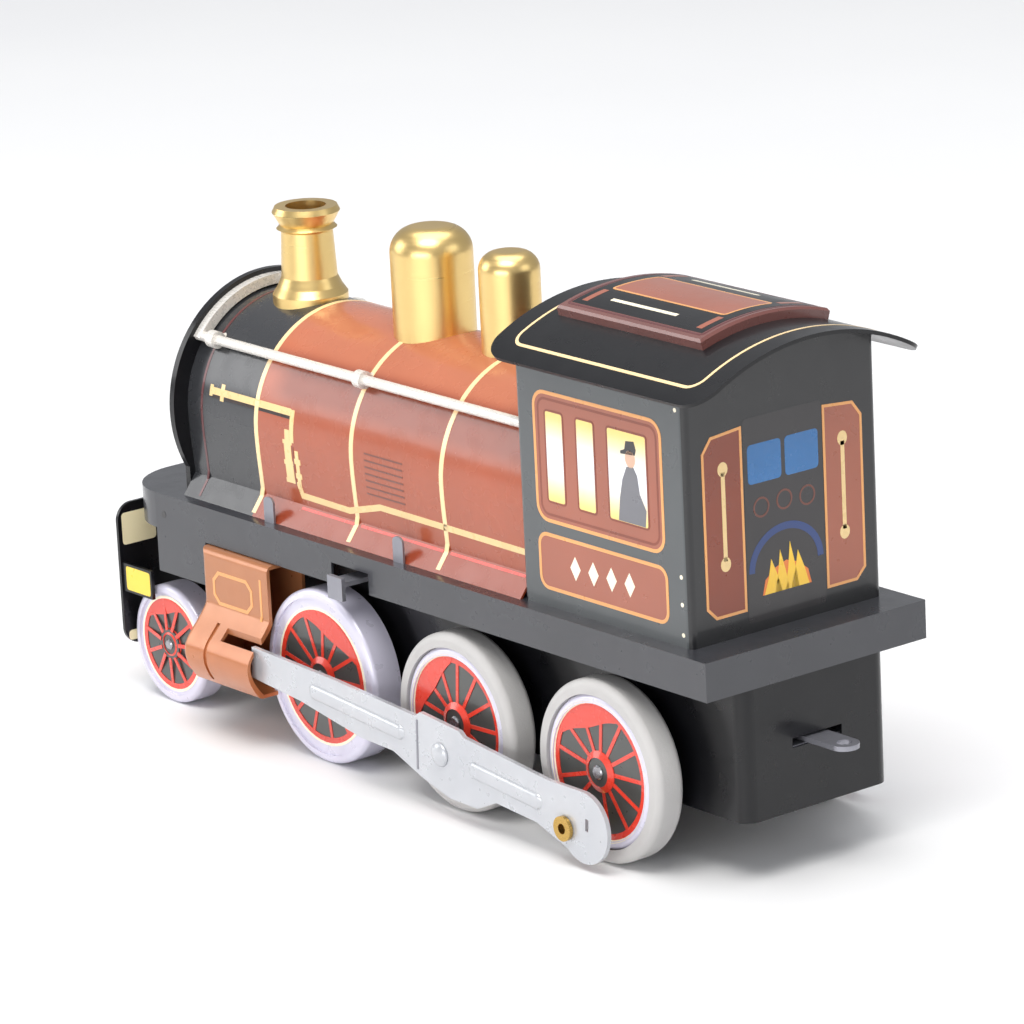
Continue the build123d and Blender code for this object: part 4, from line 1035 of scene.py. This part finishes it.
def print_wheel(prefix, hand, centre, radius, hub, spokes):
    """The red print of one wheel, laid on its outer disc."""
    node = f"{prefix}_wheel_{hand}"
    face = Side(node, hand, f"{prefix}_axle_set")
    # Name, radius, width, ink and lift of each ring.
    rings = (
        ("white_line", radius + 0.3 * MM, 0.6 * MM, ivory_ink, 0.12 * MM),
        ("rim_ring", radius - 0.6 * MM, 1.2 * MM, red_ink, 0.16 * MM),
        ("hub_ring", hub + 0.7 * MM, 1.3 * MM, red_ink, 0.2 * MM),
    )
    for label, ring_radius, width, ink, lift in rings:
        ring = circle(centre.x, centre.z, ring_radius, 48)
        face.stroke(f"{node}_{label}", ring, width, ink, closed=True, spacing=wheel_step, lift=lift)
    for number in range(spokes):
        angle = math.tau * number / spokes + 0.2
        ray = Vector((math.cos(angle), math.sin(angle)))
        ends = [ray * (hub + 1.0 * MM), ray * (radius - 1.0 * MM)]
        path = [(centre.x + end.x, centre.z + end.y) for end in ends]
        name = f"{node}_spoke_{number + 1}"
        face.stroke(name, path, 0.85 * MM, red_ink, spacing=wheel_step, lift=0.14 * MM)
    crescent = crescent_shape(centre, radius, math.radians(weight_angles[prefix]))
    face.fill(f"{node}_weight", crescent, red_ink, lift=0.22 * MM)


for prefix, centre, tyred in wheel_sets:
    printed_radius = disc_radius(prefix, tyred, 2.0 * MM)
    hub_ring, spoke_count = (2.2 * MM, 11) if prefix == "pilot" else (3.0 * MM, 13)
    for hand, _ in hands:
        print_wheel(prefix, hand, centre, printed_radius, hub_ring, spoke_count)

# ---- cylinders: chamfered gold frame and a bar beside it -------------------------------


def print_cylinder(hand):
    """A frame with cut corners, and an upright bar behind it."""
    casing = Side(f"cylinder_{hand}", hand)
    left = cylinder_low.x + 6.0 * MM
    right = cylinder_high.x - 4.4 * MM
    bottom = cylinder_high.z - 11.6 * MM
    top = cylinder_high.z - 4.8 * MM
    cut = 1.8 * MM
    framed = [
        (left + cut, bottom),
        (right - cut, bottom),
        (right, bottom + cut),
        (right, top - cut),
        (right - cut, top),
        (left + cut, top),
        (left, top - cut),
        (left, bottom + cut),
    ]
    casing.stroke(f"cylinder_frame_{hand}", framed, 0.8 * MM, gold_ink, closed=True)
    bar_x = cylinder_low.x + 2.6 * MM
    bar = [(bar_x, top + 1.5 * MM), (bar_x, bottom - 1.0 * MM)]
    casing.stroke(f"cylinder_bar_{hand}", bar, 0.7 * MM, gold_ink)


for hand, _ in hands:
    print_cylinder(hand)

# ---- rods: pressed ribs, a dome, the lap line and painted shade in the eyelet's bore ---

rod_slope = math.radians(6.2)


def rod_point(u, v):
    """A point in the rod's own directions, in millimetres from the crank pin."""
    x = crank_at.x + (u * math.cos(rod_slope) - v * math.sin(rod_slope)) * MM
    z = crank_at.z + (u * math.sin(rod_slope) + v * math.cos(rod_slope)) * MM
    return (x, z)


# Shares of the half width, closer together where the rib's end turns fastest.
rib_shares = (0.0, 0.02, 0.06, 0.14, 0.26, 0.42, 0.6, 0.8, 1.0)
# Across the rib: share of the half width, and share of the height there.
rib_flank = ((1.0, 0.0), (0.86, 0.45), (0.72, 0.85), (0.55, 1.0))
rib_profile = [(-share, level) for share, level in rib_flank] + [(0.0, 1.0)] + list(reversed(rib_flank))


def rib(side, name, start, end, width, height, material):
    """A long flat-topped rib with round ends, pressed out of a flat piece."""
    first, last = Vector(rod_point(*start)), Vector(rod_point(*end))
    along = (last - first).normalized()
    across = Vector((-along.y, along.x))
    length = (last - first).length
    half = 0.5 * width
    stations = [half * share for share in rib_shares]
    stations += [length - station for station in reversed(stations)]
    rows = []
    for station in stations:
        end_gap = min(station, length - station) / half
        round_off = math.sqrt(max(0.0, 1 - (1 - min(1.0, end_gap)) ** 2))
        rise = height * min(1.0, 1.6 * end_gap)
        row = []
        for share, level in rib_profile:
            flat = first + along * station + across * (half * share * max(0.03, round_off))
            point, normal = side.place(flat.x, flat.y)
            row.append((point + normal * rise * level, normal))
        rows.append(row)
    verts, faces = thicken(rows, False, 0.02 * MM, 0.1 * MM)
    return side.make(name, verts, faces, material, smooth=True)


def dome(side, name, place, radius, height, material):
    """A round pressed dome, closed by a flat back."""
    levels, count = 6, 28
    verts = []
    for level in range(levels + 1):
        lean = level / levels * math.pi / 2
        reach = radius * math.cos(lean) + 0.02 * MM
        for u, v in circle(*place, reach, count):
            point, normal = side.place(u, v)
            verts.append(point + normal * height * math.sin(lean))
    faces = []
    for level in range(levels):
        low = level * count
        for i in range(count):
            j = (i + 1) % count
            faces.append((low + i, low + j, low + count + j, low + count + i))
    faces.append(tuple(range(levels * count, (levels + 1) * count)))
    faces.append(tuple(range(count - 1, -1, -1)))
    return side.make(name, verts, faces, material, smooth=True)


for hand, _ in hands:
    rod_side = Side(f"rod_{hand}", hand, f"rod_{hand}")
    rib(rod_side, f"rod_{hand}_rear_rib", (7.5, 2.6), (31.0, 2.2), 3.6 * MM, 0.55 * MM, rods)
    rib(rod_side, f"rod_{hand}_front_rib", (52.5, 2.3), (85.0, 1.4), 3.4 * MM, 0.55 * MM, rods)
    pins = Side("crank_pins", hand, "rear_axle_set")
    # Painted shade: a dark disc at the bottom of the eyelet's bore.
    pins.disc(f"eyelet_bore_shade_{hand}", crank_at.x, crank_at.z, 0.95 * MM, dark_ink)
    lap = [rod_point(48.4, 8.2), rod_point(47.6, -5.0)]
    rod_side.stroke(f"rod_{hand}_lap", lap, 0.5 * MM, grey_tin, lift=0.12 * MM)
    dome(rod_side, f"rod_{hand}_dome", rod_point(40.5, 1.9), 2.6 * MM, 1.1 * MM, rods)

# ---- buffer beam ends and the yellow folded tabs --------------------------------------

tab_outline = rounded(
    beam_high.x - 11.2 * MM,
    beam_low.z + 13.2 * MM,
    beam_high.x - 2.2 * MM,
    beam_low.z + 18.6 * MM,
    0.6 * MM,
    3,
)
beam_corners = (
    ("top", beam_high.z - 9.5 * MM, beam_high.z - 2.2 * MM),
    ("bottom", beam_low.z + 0.9 * MM, beam_low.z + 3.2 * MM),
)
for hand, sign in hands:
    Side("buffer_beam", hand).fill(f"beam_tab_print_{hand}", tab_outline, yellow_tin)
    beam_rear = Side("buffer_beam", "rear")
    near, far = sorted((sign * 19.0 * MM, sign * (beam_high.y - 1.0 * MM)))
    for label, low_z, high_z in beam_corners:
        corner = rounded(near, low_z, far, high_z, 0.8 * MM, 3)
        beam_rear.fill(f"beam_{label}_print_{hand}", corner, yellow_cream)

# ---- stage, light and camera -----------------------------------------------------


def floor_material():
    """Plain pale studio floor with a faint cloudiness."""
    paint = Paint("pale_floor")
    cloud = paint.scaled(paint.noise(3.0, 4.0), 0.0, 1.0)
    colour = paint.mix(cloud, rgb(240, 240, 240), rgb(234, 234, 235))
    return paint.finish(colour, 0.6, 0.0, 0.0, 0.1, 0.3)


bpy.ops.mesh.primitive_plane_add(size=16, location=(0, 0, 0))
floor = bpy.context.object
floor.name = "floor"
floor.data.materials.append(floor_material())


def area_light(name, place, target, size, power, colour=(1, 1, 1)):
    """A soft rectangular light turned towards a target."""
    data = bpy.data.lights.new(name, "AREA")
    data.shape = "RECTANGLE"
    data.size, data.size_y = size
    data.energy = power
    data.color = colour
    lamp = bpy.data.objects.new(name, data)
    lamp.location = place
    direction = Vector(target) - Vector(place)
    lamp.rotation_euler = direction.to_track_quat("-Z", "Y").to_euler()
    bpy.context.scene.collection.objects.link(lamp)


aim = (0.015, 0.0, 0.055)
area_light("key", (-0.35, 0.5, 1.45), aim, (1.0, 0.7), 17.0, (1.0, 0.985, 0.96))
area_light("side_fill", (-0.6, 1.5, 0.3), aim, (1.4, 0.4), 9.0)
area_light("overhead", (0.25, -0.25, 1.5), aim, (1.4, 1.0), 10.0)
area_light("rear_fill", (-1.3, -0.7, 0.7), aim, (0.9, 0.7), 2.5, (0.96, 0.98, 1.0))
area_light("front_fill", (1.3, 0.9, 0.6), aim, (0.8, 0.8), 6.0)

world = bpy.data.worlds.new("studio")
world.use_nodes = True
backdrop = world.node_tree.nodes["Background"]
backdrop.inputs["Color"].default_value = (0.90, 0.92, 0.96, 1)
backdrop.inputs["Strength"].default_value = 0.5
bpy.context.scene.world = world
bpy.context.scene.view_settings.view_transform = "Standard"

camera_data = bpy.data.cameras.new("photo_view")
camera_data.sensor_width = 36
camera_data.lens = 195
camera_data.clip_end = 30
camera = bpy.data.objects.new("photo_view", camera_data)
eye = Vector((-0.8621, 0.6866, 0.3692))
tilt = Matrix.Rotation(math.radians(-2.81), 4, "Z")
look = (Vector(aim) - eye).to_track_quat("-Z", "Y").to_matrix().to_4x4()
camera.matrix_world = Matrix.Translation(eye) @ look
bpy.context.scene.collection.objects.link(camera)
bpy.context.scene.camera = camera
camera.matrix_world = camera.matrix_world @ tilt
